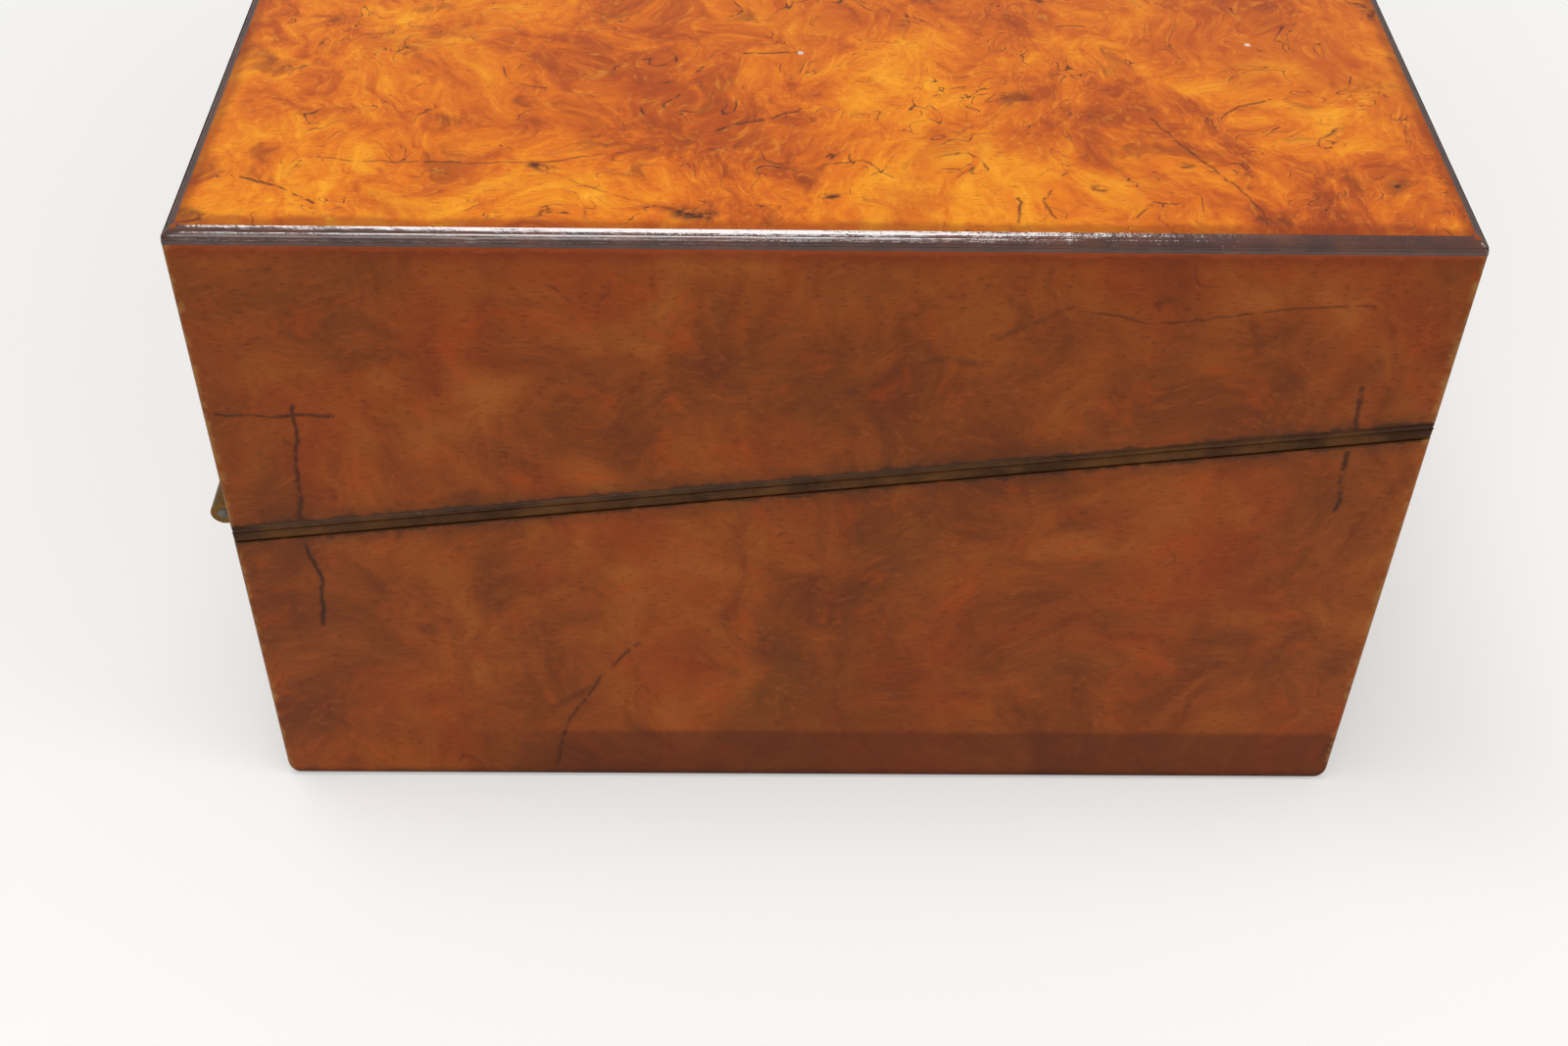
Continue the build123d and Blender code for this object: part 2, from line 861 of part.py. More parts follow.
def ink_collar(y):
    """Brass collar on the neck, with the two outer knuckles of the cap's hinge."""
    ring_z = neck_top - collar_height / 2
    ring = Pos(well_x, y, ring_z) * Cylinder(collar_radius, collar_height)
    half = cap_knuckle_length / 2
    for sign in (-1, 1):
        a, b = sorted((y + sign * (half + cap_knuckle_gap), y + sign * (half + cap_knuckle_length)))
        ring += cap_knuckle(a, b)
        ring += block(well_x, cap_hinge_x, a, b, neck_top - cap_knuckle_radius, neck_top)
    ring -= Pos(well_x, y, ring_z) * Cylinder(well_neck_radius, collar_height)
    bore_reach = half + cap_knuckle_length
    bore = cylinder_y(
        cap_pin_radius + pin_clearance, cap_hinge_x, cap_hinge_z, y - bore_reach, y + bore_reach
    )
    relief = cylinder_y(
        cap_knuckle_radius + cap_gap,
        cap_hinge_x,
        cap_hinge_z,
        y - half - cap_knuckle_gap,
        y + half + cap_knuckle_gap,
    )
    return ring - bore - relief


def ink_cap(y):
    """Hinged brass cap: a shallow dome with a rim, hollow below."""
    rim = Pos(well_x, y, cap_bottom + cap_rim_height / 2) * Cylinder(cap_radius, cap_rim_height)
    sphere_radius = (cap_radius**2 + cap_dome_height**2) / (2 * cap_dome_height)
    dome_top = cap_bottom + cap_rim_height + cap_dome_height
    dome = Pos(well_x, y, dome_top - sphere_radius) * Sphere(sphere_radius)
    dome &= Pos(well_x, y, dome_top) * Box(
        4 * cap_radius, 4 * cap_radius, 2 * cap_dome_height
    )
    half = cap_knuckle_length / 2
    arm = block(well_x, cap_hinge_x, y - half, y + half, cap_bottom, cap_bottom + cap_knuckle_radius)
    cap = rim + dome + arm + cap_knuckle(y - half, y + half)
    hollow = Pos(well_x, y, cap_bottom + cap_rim_height / 2) * Cylinder(
        cap_radius - cap_wall, cap_rim_height
    )
    cap -= hollow
    cap -= cylinder_y(
        cap_pin_radius + pin_clearance, cap_hinge_x, cap_hinge_z, y - half, y + half
    )
    for sign in (-1, 1):
        a, b = sorted((y + sign * half, y + sign * (half + cap_knuckle_length + cap_gap)))
        cap -= cylinder_y(cap_knuckle_radius + cap_gap, cap_hinge_x, cap_hinge_z, a, b)
    return cap


def cap_pin(y):
    reach = 3 * cap_knuckle_length / 2
    return cylinder_y(cap_pin_radius, cap_hinge_x, cap_hinge_z, y - reach, y + reach)


def make_screws(places):
    return [place * slotted_screw() for place in places]


def make_screw_holes(places):
    holes = places[0] * screw_body()
    for place in places[1:]:
        holes += place * screw_body()
    return holes


def build_base():
    """Every piece that stays still when the lid opens."""
    hinges = {
        end: hinge_leaf(span, 1) for end, span in hinge_spans.items()
    }
    leaves = hinges["near"] + hinges["far"]
    hinge_holes = make_screw_holes(hinge_screw_places(1))
    lock_holes = make_screw_holes(lock_screw_places(1))
    notches = butt_notches(base_flap_u0, 1)
    plate = escutcheon()
    key_way = keyhole(lock_x1 - lock_sheet, half_depth + escutcheon_thickness)
    walls = case_walls()
    strings = [stringing(side, -rim_depth, -half_kerf) for side in sides]
    facings = rim_facings(-rim_depth, -half_kerf)
    butts = flap_butts(base_flap_u0, 1)
    flap = writing_flap(base_flap_u0, base_flap_u1, 1) - notches
    nodes = {
        "base_bottom_board": [bottom_panel()],
        "base_hinge_wall": [(walls["hinge"] & base_zone) - hinge_holes - notches],
        "base_lock_wall": [
            (walls["lock"] & base_zone) - lock_outline() - key_way - lock_holes
        ],
        "base_near_end_wall": [walls["near"] & base_zone],
        "base_far_end_wall": [walls["far"] & base_zone],
        "base_hinge_side_veneer": [shell & base_zone & quarter("hinge", veneer, veneer)],
        "base_lock_side_veneer": [
            (shell & base_zone & quarter("lock", veneer, veneer)) - plate - key_way
        ],
        "base_near_end_veneer": [shell & base_zone & quarter("near", veneer, veneer)],
        "base_far_end_veneer": [shell & base_zone & quarter("far", veneer, veneer)],
        "base_rim_facings": [
            facing - leaves - hinge_holes - lock_outline() - lock_holes - notches
            for facing in facings
        ],
        "near_hinge_base_leaf": [hinges["near"] - hinge_holes],
        "far_hinge_base_leaf": [hinges["far"] - hinge_holes],
        "hinge_pins": [hinge_pin(span) for span in hinge_spans.values()],
        "base_screws": make_screws(hinge_screw_places(1) + lock_screw_places(1)),
        "lock_case": [lock_case() - lock_holes],
        "escutcheon": [plate - key_way],
        "base_writing_flap": [flap],
        "base_flap_leather": [flap_leather(base_flap_u0, base_flap_u1, 1)],
        "base_flap_hinges": butts,
        "till_divider": [till_divider()],
        "till_floor": [till_floor_board()],
        "till_partitions": till_partitions(),
        "tray_bearers": tray_bearers(),
        "pen_tray": [pen_tray()],
        "stamp_cover": [stamp_cover()],
        "inkwell_pads": [ink_pad(y) for y in well_places.values()],
        "cap_hinge_pins": [cap_pin(y) for y in well_places.values()],
    }
    nodes["base_stringing"] = [string - leaves for string in strings]
    cross = (base_flap_u1 - ledge_width, base_flap_u1 + ledge_width)
    open_side = block(-far_away, till_x - till_wall, -far_away, far_away, 0, case_height)
    ledges = flap_ledges(base_flap_u0, base_flap_u1, 1, cross)
    nodes["base_flap_ledges"] = [ledge & open_side for ledge in ledges]
    for end, y in well_places.items():
        nodes[f"{end}_inkwell"] = [ink_bottle(y)]
        nodes[f"{end}_inkwell_collar"] = [ink_collar(y)]
        nodes[f"{end}_inkwell_cap"] = [ink_cap(y)]
    nodes["lock_bolt"] = lock_bolt()
    return nodes


def build_lid():
    """Every piece that turns with the lid."""
    hinges = {
        end: hinge_leaf(span, -1) for end, span in hinge_spans.items()
    }
    leaves = hinges["near"] + hinges["far"]
    hinge_holes = make_screw_holes(hinge_screw_places(-1))
    plate_holes = make_screw_holes(lock_screw_places(-1))
    catch_holes = make_screw_holes(catch_screw_places())
    notches = butt_notches(lid_flap_u0, -1)
    channel = catch_channel()
    link, loops = link_plate()
    walls = case_walls()
    below_bead = block(
        -half_depth, half_depth, -half_length, half_length, -far_away, bead_floor
    )
    skin = shell & lid_zone & below_bead
    strings = [stringing(side, half_kerf, rim_depth) for side in sides]
    facings = rim_facings(half_kerf, rim_depth)
    inner = half_depth - bead, half_length - bead
    flap = writing_flap(lid_flap_u0, lid_flap_u1, -1) - notches - channel
    cross_u1 = slope_u(wall_in_x, flap_back)
    nodes = {
        "lid_top_board": [top_panel()],
        "lid_top_veneer": [
            block(
                -inner[0], inner[0], -inner[1], inner[1], case_height - veneer, case_height
            )
        ],
        "lid_hinge_wall": [(walls["hinge"] & lid_zone) - hinge_holes - notches],
        "lid_lock_wall": [
            (walls["lock"] & lid_zone) - plate_holes - catch_holes - channel
        ],
        "lid_near_end_wall": [walls["near"] & lid_zone],
        "lid_far_end_wall": [walls["far"] & lid_zone],
        "lid_rim_facings": [
            facing - leaves - hinge_holes - link - loops[0] - loops[1] - plate_holes - notches
            - catch_plate_block() - channel - catch_holes
            for facing in facings
        ],
        "near_hinge_lid_leaf": [hinges["near"] - hinge_holes],
        "far_hinge_lid_leaf": [hinges["far"] - hinge_holes],
        "lid_screws": make_screws(
            hinge_screw_places(-1) + lock_screw_places(-1) + catch_screw_places()
        ),
        "link_plate": [link - plate_holes, *loops],
        "lid_writing_flap": [flap],
        "lid_flap_leather": [flap_leather(lid_flap_u0, lid_flap_u1, -1)],
        "lid_flap_hinges": flap_butts(lid_flap_u0, -1),
        "lid_flap_ledges": flap_ledges(
            lid_flap_u0, lid_flap_u1, -1, (cross_u1 - ledge_width, cross_u1)
        ),
        "flap_catch_plate": [catch_plate() - catch_holes],
        "flap_catch_bolt": [catch_bolt()],
    }
    for side in sides:
        name = f"{side}_end" if side in ("near", "far") else f"{side}_side"
        nodes[f"lid_{name}_veneer"] = [skin & quarter(side, veneer, veneer)]
    nodes["lid_stringing"] = [string - leaves for string in strings]
    nodes["lid_edge_bead"] = [edge_bead(side) for side in sides]
    return nodes


def write_nodes(nodes):
    os.makedirs("parts", exist_ok=True)
    for name, pieces in nodes.items():
        solids = [solid for piece in pieces for solid in piece.solids()]
        shape = solids[0] if len(solids) == 1 else Compound(solids)
        export_step(shape, f"parts/{name}.step")


write_nodes({**build_base(), **build_lid()})
print(f"slant {degrees(slant):.3f} degrees, slope at the lock face {slope_z(half_depth):.2f} mm")
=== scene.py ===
import json
import math

import bmesh
import bpy
from mathutils import Matrix, Vector, noise


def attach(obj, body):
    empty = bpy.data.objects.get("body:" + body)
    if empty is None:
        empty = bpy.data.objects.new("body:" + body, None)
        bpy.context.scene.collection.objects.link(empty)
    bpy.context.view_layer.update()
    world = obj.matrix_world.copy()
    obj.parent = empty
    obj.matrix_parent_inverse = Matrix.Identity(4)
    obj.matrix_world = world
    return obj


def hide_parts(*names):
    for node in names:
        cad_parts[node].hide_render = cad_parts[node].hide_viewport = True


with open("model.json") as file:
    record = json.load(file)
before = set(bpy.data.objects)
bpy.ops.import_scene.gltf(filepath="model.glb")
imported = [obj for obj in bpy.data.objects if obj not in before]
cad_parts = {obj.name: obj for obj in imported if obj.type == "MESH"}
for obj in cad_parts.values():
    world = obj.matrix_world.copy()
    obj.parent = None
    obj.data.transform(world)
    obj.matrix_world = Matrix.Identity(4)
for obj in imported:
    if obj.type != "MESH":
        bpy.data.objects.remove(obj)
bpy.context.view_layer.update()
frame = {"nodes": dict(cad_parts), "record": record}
nodes = frame["nodes"]
scene = bpy.context.scene
scene.view_settings.view_transform = "Standard"

MM = 0.001
HALF_WIDTH = 120.5
HALF_LENGTH = 178.0
HEIGHT = 152.0
HINGE_X = -123.6
HINGE_Z = 76.0
LOCK_Z = 107.0
SLANT = math.atan2(LOCK_Z - HINGE_Z, HALF_WIDTH - HINGE_X)
SQUARE_TO_SLOPE = Vector((-math.sin(SLANT), 0.0, math.cos(SLANT)))
SLOPE_LIFT = HINGE_Z * math.cos(SLANT) - HINGE_X * math.sin(SLANT)
ARRIS = 0.9
EDGE_WIDTH = 1.6
EDGE_DEPTH = 3.2
LEAF_DEPTH = 1.0
LINE_WIDTH = 3.0
LINE_DEPTH = 2.0
HALF_CUT = 0.15
WORN_REACH = 5.0
WORN_DROP = 2.8
LEATHER_DEPTH = 0.8
LEATHER_HALF_REACH = 149.5
LEATHER_FACE = 0.95
BOTTLE_X = 79.3
BOTTLE_Y = 146.0
FELT_TOP = 39.42
FELT_DEPTH = 1.35
SHARP = math.radians(50)


# Helpers for finishes
def colour(code):
    """An sRGB hex colour as linear red, green, blue and alpha."""
    channels = [int(code[n : n + 2], 16) / 255 for n in (1, 3, 5)]
    linear = [c / 12.92 if c <= 0.04045 else ((c + 0.055) / 1.055) ** 2.4 for c in channels]
    return (*linear, 1.0)


def add(tree, kind, sockets=None, stops=None, **settings):
    """Adds a node with its settings, its sockets' values or feeding nodes, and its colour stops."""
    made = tree.nodes.new(kind)
    for name, value in settings.items():
        setattr(made, name, value)
    usable = [socket for socket in made.inputs if socket.enabled]
    for name, value in (sockets or {}).items():
        by_name = {socket.name: socket for socket in reversed(usable)}
        into = usable[name] if isinstance(name, int) else by_name[name]
        if isinstance(value, bpy.types.Node):
            value = next(socket for socket in value.outputs if socket.enabled)
        if isinstance(value, bpy.types.NodeSocket):
            tree.links.new(value, into)
        else:
            into.default_value = value
    if stops:
        ramp = made.color_ramp
        while len(ramp.elements) < len(stops):
            ramp.elements.new(1.0)
        for element, (place, code) in zip(ramp.elements, stops):
            element.position = place
            element.color = colour(code)
    return made


def new_material(name):
    """An empty material: itself, its tree, its shader and Object coordinates in millimetres."""
    material = bpy.data.materials.new(name)
    material.use_nodes = True
    tree = material.node_tree
    tree.nodes.clear()
    shader = add(tree, "ShaderNodeBsdfPrincipled")
    add(tree, "ShaderNodeOutputMaterial", {"Surface": shader})
    place = add(tree, "ShaderNodeTexCoord")
    thousand = (1000.0, 1000.0, 1000.0)
    mm = add(tree, "ShaderNodeMapping", {"Vector": place.outputs["Object"], "Scale": thousand})
    return material, tree, shader, mm


def finish(tree, shader, tone, height, depth, **constants):
    """Feeds a shader its colour and its relief of depth millimetres, and sets what is constant."""
    relief = add(
        tree,
        "ShaderNodeBump",
        {"Height": height, "Distance": depth * MM, "Strength": 1.0},
    )
    shown = next(socket for socket in tone.outputs if socket.enabled)
    tree.links.new(shown, shader.inputs["Base Color"])
    tree.links.new(relief.outputs[0], shader.inputs["Normal"])
    tree.links.new(relief.outputs[0], shader.inputs["Coat Normal"])
    for name, value in constants.items():
        shader.inputs[name.replace("_", " ")].default_value = value


def blotches(tree, place, size, detail=2.0, roughness=0.5, stretch=(1.0, 1.0, 1.0)):
    """Cloudy pattern whose blotches are about size millimetres, drawn out by stretch."""
    scale = tuple(1.0 / (size * s) for s in stretch)
    squeezed = add(tree, "ShaderNodeMapping", {"Vector": place, "Scale": scale})
    return add(
        tree,
        "ShaderNodeTexNoise",
        {"Vector": squeezed, "Scale": 1.0, "Detail": detail, "Roughness": roughness},
    )


def swirled(tree, place, size, reach):
    """The same place, pushed about by up to reach millimetres in swirls of that size."""
    push = blotches(tree, place, size, 2.0, 0.55)
    middle = (0.5, 0.5, 0.5)
    twice = (2 * reach, 2 * reach, 2 * reach)
    centred = add(
        tree, "ShaderNodeVectorMath", {0: push.outputs["Color"], 1: middle}, operation="SUBTRACT"
    )
    return add(
        tree, "ShaderNodeVectorMath", {0: centred, 1: twice, 2: place}, operation="MULTIPLY_ADD"
    )


def hairline(tree, place, points, width, depth):
    """depth on a fine check through the points, fading to 0 at width millimetres from it."""
    nearest = None
    for start, end in zip(points, points[1:]):
        run = Vector(end) - Vector(start)
        offset = add(tree, "ShaderNodeVectorMath", {0: place, 1: start}, operation="SUBTRACT")
        share = run / run.length_squared
        along = add(tree, "ShaderNodeVectorMath", {0: offset, 1: share}, operation="DOT_PRODUCT")
        held = add(tree, "ShaderNodeClamp", {"Value": along})
        foot = add(tree, "ShaderNodeVectorMath", {0: run, "Scale": held}, operation="SCALE")
        away = add(tree, "ShaderNodeVectorMath", {0: offset, 1: foot}, operation="DISTANCE")
        if nearest:
            away = add(tree, "ShaderNodeMath", {0: nearest, 1: away}, operation="MINIMUM")
        nearest = away
    return add(
        tree,
        "ShaderNodeMapRange",
        {"Value": nearest, "From Min": 0.0, "From Max": width, "To Min": depth, "To Max": 0.0},
        interpolation_type="SMOOTHSTEP",
    )


def darkest(tree, marks):
    """The strongest of several marks."""
    strongest = marks[0]
    for mark in marks[1:]:
        strongest = add(tree, "ShaderNodeMath", {0: strongest, 1: mark}, operation="MAXIMUM")
    return strongest


def within(tree, share, *ranges):
    """share, a number or a mark, faded to 0 between each range's end and its start."""
    for pattern, start, end in ranges:
        is_mark = isinstance(share, bpy.types.Node)
        full = 1.0 if is_mark else share
        faded = add(
            tree,
            "ShaderNodeMapRange",
            {"Value": pattern, "From Min": start, "From Max": end, "To Min": 0.0, "To Max": full},
            interpolation_type="SMOOTHSTEP",
        )
        if is_mark:
            faded = add(tree, "ShaderNodeMath", {0: share, 1: faded}, operation="MULTIPLY")
        share = faded
    return share


def stained(tree, tone, code, share, *ranges):
    """The colour taken towards another by share, within the ranges."""
    mark = within(tree, share, *ranges)
    towards = {"Factor": mark, "A": tone, "B": colour(code)}
    return add(tree, "ShaderNodeMix", towards, data_type="RGBA")


# Burr walnut veneer, cut from a growth full of buds and laid as one leaf on the lid's top.
# Many coats of shellac make it amber and wet to the eye, over curls, small eyes and fine checks.
def burr_top():
    material, tree, shader, mm = new_material("Shellacked burr walnut, top")
    wide = swirled(tree, mm, 60.0, 26.0)
    tight = swirled(tree, wide, 18.0, 9.0)
    curled = swirled(tree, tight, 6.0, 3.0)
    clouds = blotches(tree, wide, 50.0, 3.0, 0.5)
    mottle = blotches(tree, curled, 9.0, 6.0, 0.68)
    flame = blotches(tree, tight, 5.0, 4.0, 0.65, (1.0, 3.2, 1.0))
    figure = add(tree, "ShaderNodeMix", {"Factor": 0.40, "A": mottle, "B": flame})
    depth = add(tree, "ShaderNodeMix", {"Factor": 0.54, "A": clouds, "B": figure})
    amber = [
        (0.35, "#863200"),
        (0.43, "#AC4800"),
        (0.48, "#C85E00"),
        (0.53, "#DA7200"),
        (0.58, "#E48806"),
        (0.66, "#F2A41C"),
    ]
    tone = add(tree, "ShaderNodeValToRGB", {"Fac": depth}, stops=amber)
    rust = blotches(tree, wide, 34.0, 3.0, 0.6)
    tone = stained(tree, tone, "#B04600", 0.45, (rust, 0.50, 0.68))
    umber = blotches(tree, curled, 12.0, 3.0, 0.6)
    tone = stained(tree, tone, "#7E3400", 0.50, (umber, 0.58, 0.70))

    pore = blotches(tree, mm, 0.45, 2.0, 0.6, (5.0, 1.0, 1.0))
    tone = stained(tree, tone, "#8A3A0A", 0.50, (pore, 0.56, 0.74))
    silk = blotches(tree, tight, 1.4, 2.0, 0.6, (1.0, 3.0, 1.0))
    tone = stained(tree, tone, "#FFB030", 0.22, (silk, 0.54, 0.72))

    bud = add(tree, "ShaderNodeTexVoronoi", {"Vector": tight, "Scale": 1 / 22.0})
    ring = within(tree, 0.45, (bud, 0.17, 0.05))
    pupil = within(tree, 0.95, (bud, 0.060, 0.034))
    eye = darkest(tree, [ring, pupil])
    crowd = blotches(tree, mm, 70.0, 1.0)
    tone = stained(tree, tone, "#4A1E08", eye, (crowd, 0.48, 0.56))

    curl_lines = []
    for size, reach in ((15.0, 0.010), (8.0, 0.014)):
        wave = blotches(tree, tight, size, 2.0, 0.5)
        off = add(tree, "ShaderNodeMath", {0: wave, 1: 0.5}, operation="SUBTRACT")
        off = add(tree, "ShaderNodeMath", {0: off}, operation="ABSOLUTE")
        where = blotches(tree, mm, size * 1.1, 2.0)
        curl_lines.append(within(tree, 0.9, (off, reach, 0.0), (where, 0.54, 0.62)))
    wobble = swirled(tree, swirled(tree, mm, 9.0, 1.6), 2.0, 0.35)
    on_top = (1.0, 1.0, 0.0)
    flat = add(tree, "ShaderNodeVectorMath", {0: wobble, 1: on_top}, operation="MULTIPLY")
    checks = [
        ([(-98, -154, 0), (-75, -155, 0), (-54, -155, 0), (-39, -151, 0)], 0.40, 0.65),
        ([(-39, -151, 0), (-29, -148, 0), (-21, -143, 0)], 0.30, 0.45),
        ([(-21, -143, 0), (-12, -139, 0), (-5, -136, 0)], 0.65, 0.85),
        ([(-109, -161, 0), (-103, -163, 0), (-94, -169, 0)], 0.55, 0.85),
        ([(-53, -157, 0), (-40, -165, 0), (-32, -169, 0)], 0.35, 0.45),
        ([(-32, -169, 0), (-24, -172, 0)], 1.00, 0.60),
        ([(-55, -156, 0), (-52, -157, 0)], 2.20, 0.95),
        ([(-27, -171, 0), (-22, -172, 0)], 3.00, 0.95),
        ([(0, -165, 0), (2, -165, 0)], 1.40, 0.95),
        ([(50, -162, 0), (51, -162, 0)], 1.80, 0.95),
        ([(37, -130, 0), (39, -130, 0)], 4.50, 0.55),
        ([(-118, -172, 0), (-113, -174, 0)], 2.60, 0.70),
        ([(64, -138, 0), (75, -158, 0), (81, -172, 0)], 0.45, 0.70),
        ([(79, -171, 0), (84, -173, 0)], 1.80, 0.80),
        ([(78, -137, 0), (82, -132, 0), (89, -130, 0)], 0.50, 0.70),
        ([(-16, -114, 0), (-4, -113, 0)], 0.60, 0.80),
        ([(49, -102, 0), (55, -102, 0)], 0.60, 0.70),
        ([(35, -164, 0), (36, -167, 0), (35, -173, 0)], 0.50, 0.80),
        ([(42, -163, 0), (40, -167, 0), (42, -172, 0)], 0.50, 0.80),
        ([(-62, -126, 0), (-55, -128, 0)], 0.60, 0.55),
        ([(21, -152, 0), (27, -150, 0), (30, -153, 0), (31, -156, 0)], 0.40, 0.75),
        ([(-1, -155, 0), (7, -153, 0), (13, -159, 0)], 0.40, 0.60),
        ([(57, -171, 0), (60, -166, 0), (65, -167, 0)], 0.40, 0.75),
    ]
    by_hand = [hairline(tree, flat, points, width, dark) for points, width, dark in checks]
    broken = blotches(tree, mm, 2.6, 3.0, 0.6)
    cracks = within(tree, darkest(tree, curl_lines + by_hand), (broken, 0.34, 0.54))
    tone = stained(tree, tone, "#431C06", cracks)

    chip = add(tree, "ShaderNodeTexVoronoi", {"Vector": mm, "Scale": 1 / 24.0})
    tone = stained(tree, tone, "#EAD6CE", 0.75, (chip, 0.036, 0.018))
    across = add(tree, "ShaderNodeSeparateXYZ", {"Vector": wobble})
    for axis, limit in (("X", HALF_WIDTH), ("Y", HALF_LENGTH)):
        out = add(tree, "ShaderNodeMath", {0: across.outputs[axis]}, operation="ABSOLUTE")
        tone = stained(tree, tone, "#7A2C06", 0.55, (out, limit - 5.5, limit - 3.4))

    sag = blotches(tree, mm, 14.0, 2.0)
    height = add(tree, "ShaderNodeMath", {0: sag, 1: cracks}, operation="SUBTRACT")
    finish(
        tree,
        shader,
        tone,
        height,
        0.06,
        Roughness=0.36,
        Specular_IOR_Level=0.16,
        Coat_Weight=0.36,
        Coat_Roughness=0.07,
    )
    return material


# Plainer walnut leaf on the four sides, under the same shellac, its browns painted darker than
# the top's as shade on sides turned from the light overhead. Olive and brick patches, soft
# streaks, dirt at the joints.
def shaded_walnut_sides():
    material, tree, shader, mm = new_material("Shellacked walnut, sides in painted shade")
    wide = swirled(tree, mm, 60.0, 24.0)
    tight = swirled(tree, wide, 20.0, 7.0)
    clouds = blotches(tree, wide, 42.0, 3.0, 0.5)
    mottle = blotches(tree, tight, 12.0, 4.0, 0.6)
    depth = add(tree, "ShaderNodeMix", {"Factor": 0.40, "A": clouds, "B": mottle})
    # Painted shade: these browns stand darker than the top's ambers for the shade on the sides.
    brown = [
        (0.36, "#743408"),
        (0.44, "#843E0A"),
        (0.50, "#92460E"),
        (0.56, "#9E5014"),
        (0.64, "#AA5C1E"),
    ]
    tone = add(tree, "ShaderNodeValToRGB", {"Fac": depth}, stops=brown)
    brick = blotches(tree, wide, 44.0, 3.0, 0.55)
    tone = stained(tree, tone, "#963604", 0.65, (brick, 0.46, 0.68))
    ember = blotches(tree, tight, 9.0, 4.0, 0.65)
    tone = stained(tree, tone, "#B2480A", 0.45, (ember, 0.53, 0.70))
    olive = blotches(tree, wide, 52.0, 2.0, 0.6)
    tone = stained(tree, tone, "#6C3C0E", 0.42, (olive, 0.50, 0.72))
    streak = blotches(tree, tight, 7.0, 3.0, 0.6, (1.0, 1.0, 7.0))
    tone = stained(tree, tone, "#6E2A04", 0.40, (streak, 0.48, 0.74))
    pore = blotches(tree, mm, 0.55, 2.0, 0.6, (4.0, 4.0, 1.0))
    tone = stained(tree, tone, "#52240A", 0.45, (pore, 0.52, 0.72))
    silk = blotches(tree, tight, 1.3, 3.0, 0.65, (3.0, 3.0, 1.0))
    tone = stained(tree, tone, "#BC6426", 0.22, (silk, 0.52, 0.70))
    knot = blotches(tree, tight, 16.0, 2.0, 0.5)
    tone = stained(tree, tone, "#4A240C", 0.32, (knot, 0.66, 0.76))

    ragged = blotches(tree, mm, 3.0, 4.0, 0.65)
    rough = add(tree, "ShaderNodeMath", {0: ragged, 1: 0.5}, operation="SUBTRACT")
    parts = add(tree, "ShaderNodeSeparateXYZ", {"Vector": mm})
    square = tuple(SQUARE_TO_SLOPE)
    level = add(tree, "ShaderNodeVectorMath", {0: mm, 1: square}, operation="DOT_PRODUCT")
    level = add(tree, "ShaderNodeMath", {0: level, 1: SLOPE_LIFT}, operation="SUBTRACT")
    level = add(tree, "ShaderNodeMath", {0: level}, operation="ABSOLUTE")
    level = add(tree, "ShaderNodeMath", {0: rough, 1: 3.6, 2: level}, operation="MULTIPLY_ADD")
    tone = stained(tree, tone, "#36200C", 0.80, (level, 3.1, 2.2))
    tone = stained(tree, tone, "#4E2C10", 0.40, (level, 7.0, 2.4))
    rise = add(
        tree,
        "ShaderNodeMath",
        {0: rough, 1: 3.0, 2: parts.outputs["Z"]},
        operation="MULTIPLY_ADD",
    )
    tone = stained(tree, tone, "#7C2C06", 0.55, (rise, HEIGHT - 7.5, HEIGHT - 4.0))
    tone = stained(tree, tone, "#A8481A", 0.6, (rise, HEIGHT - 4.4, HEIGHT - 3.6))
    # Painted shade: a darker band low on the sides, fading out towards the hinge side.
    foot = (parts.outputs["Z"], 17.2, 14.8)
    toward_lock = (parts.outputs["X"], -96.0, -40.0)
    tone = stained(tree, tone, "#54200A", 0.55, foot, toward_lock)
    # Painted shade: a dark line along the bottom, where the case meets the floor.
    tone = stained(tree, tone, "#34180A", 0.70, (rise, 3.4, 0.6))

    corners = []
    for axis, limit in (("X", HALF_WIDTH), ("Y", HALF_LENGTH)):
        out = add(tree, "ShaderNodeMath", {0: parts.outputs[axis]}, operation="ABSOLUTE")
        out = add(tree, "ShaderNodeMath", {0: rough, 1: 6.0, 2: out}, operation="MULTIPLY_ADD")
        corners.append((out, limit - 1.6, limit + 0.2))
    tone = stained(tree, tone, "#A87438", 0.7225, *corners)

    wobble = swirled(tree, swirled(tree, mm, 9.0, 1.4), 2.0, 0.35)
    on_end = (1.0, 0.0, 1.0)
    flat = add(tree, "ShaderNodeVectorMath", {0: wobble, 1: on_end}, operation="MULTIPLY")
    checks = [
        ([(-102.4, 0, 111), (-104, 0, 97), (-105.5, 0, 81)], 0.80, 0.80),
        ([(-104.8, 0, 91), (-105.6, 0, 80)], 1.10, 0.70),
        ([(-105.5, 0, 74), (-104, 0, 64), (-105.5, 0, 50)], 0.85, 0.90),
        ([(-118, 0, 108.6), (-107, 0, 108.7), (-95, 0, 108.6)], 0.50, 0.80),
        ([(-106, 0, 108.7), (-96, 0, 108.5)], 0.90, 0.80),
        ([(104, 0, 118), (105.3, 0, 107)], 0.95, 0.80),
        ([(104.8, 0, 101), (105.3, 0, 86)], 0.95, 0.85),
        ([(47, 0, 136), (62, 0, 133), (82, 0, 136), (102, 0, 137)], 0.50, 0.55),
        ([(33, 0, 129), (47, 0, 137)], 1.00, 0.35),
        ([(-38, 0, 45), (-47, 0, 34), (-54, 0, 21), (-59, 0, 4)], 0.80, 0.65),
        ([(-58, 0, 24), (-50, 0, 31)], 1.60, 0.35),
        ([(20, 0, 124), (30, 0, 123)], 1.60, 0.40),
    ]
    by_hand = [hairline(tree, flat, points, width, dark) for points, width, dark in checks]
    near_end = (parts.outputs["Y"], 100.0 - HALF_LENGTH, 50.0 - HALF_LENGTH)
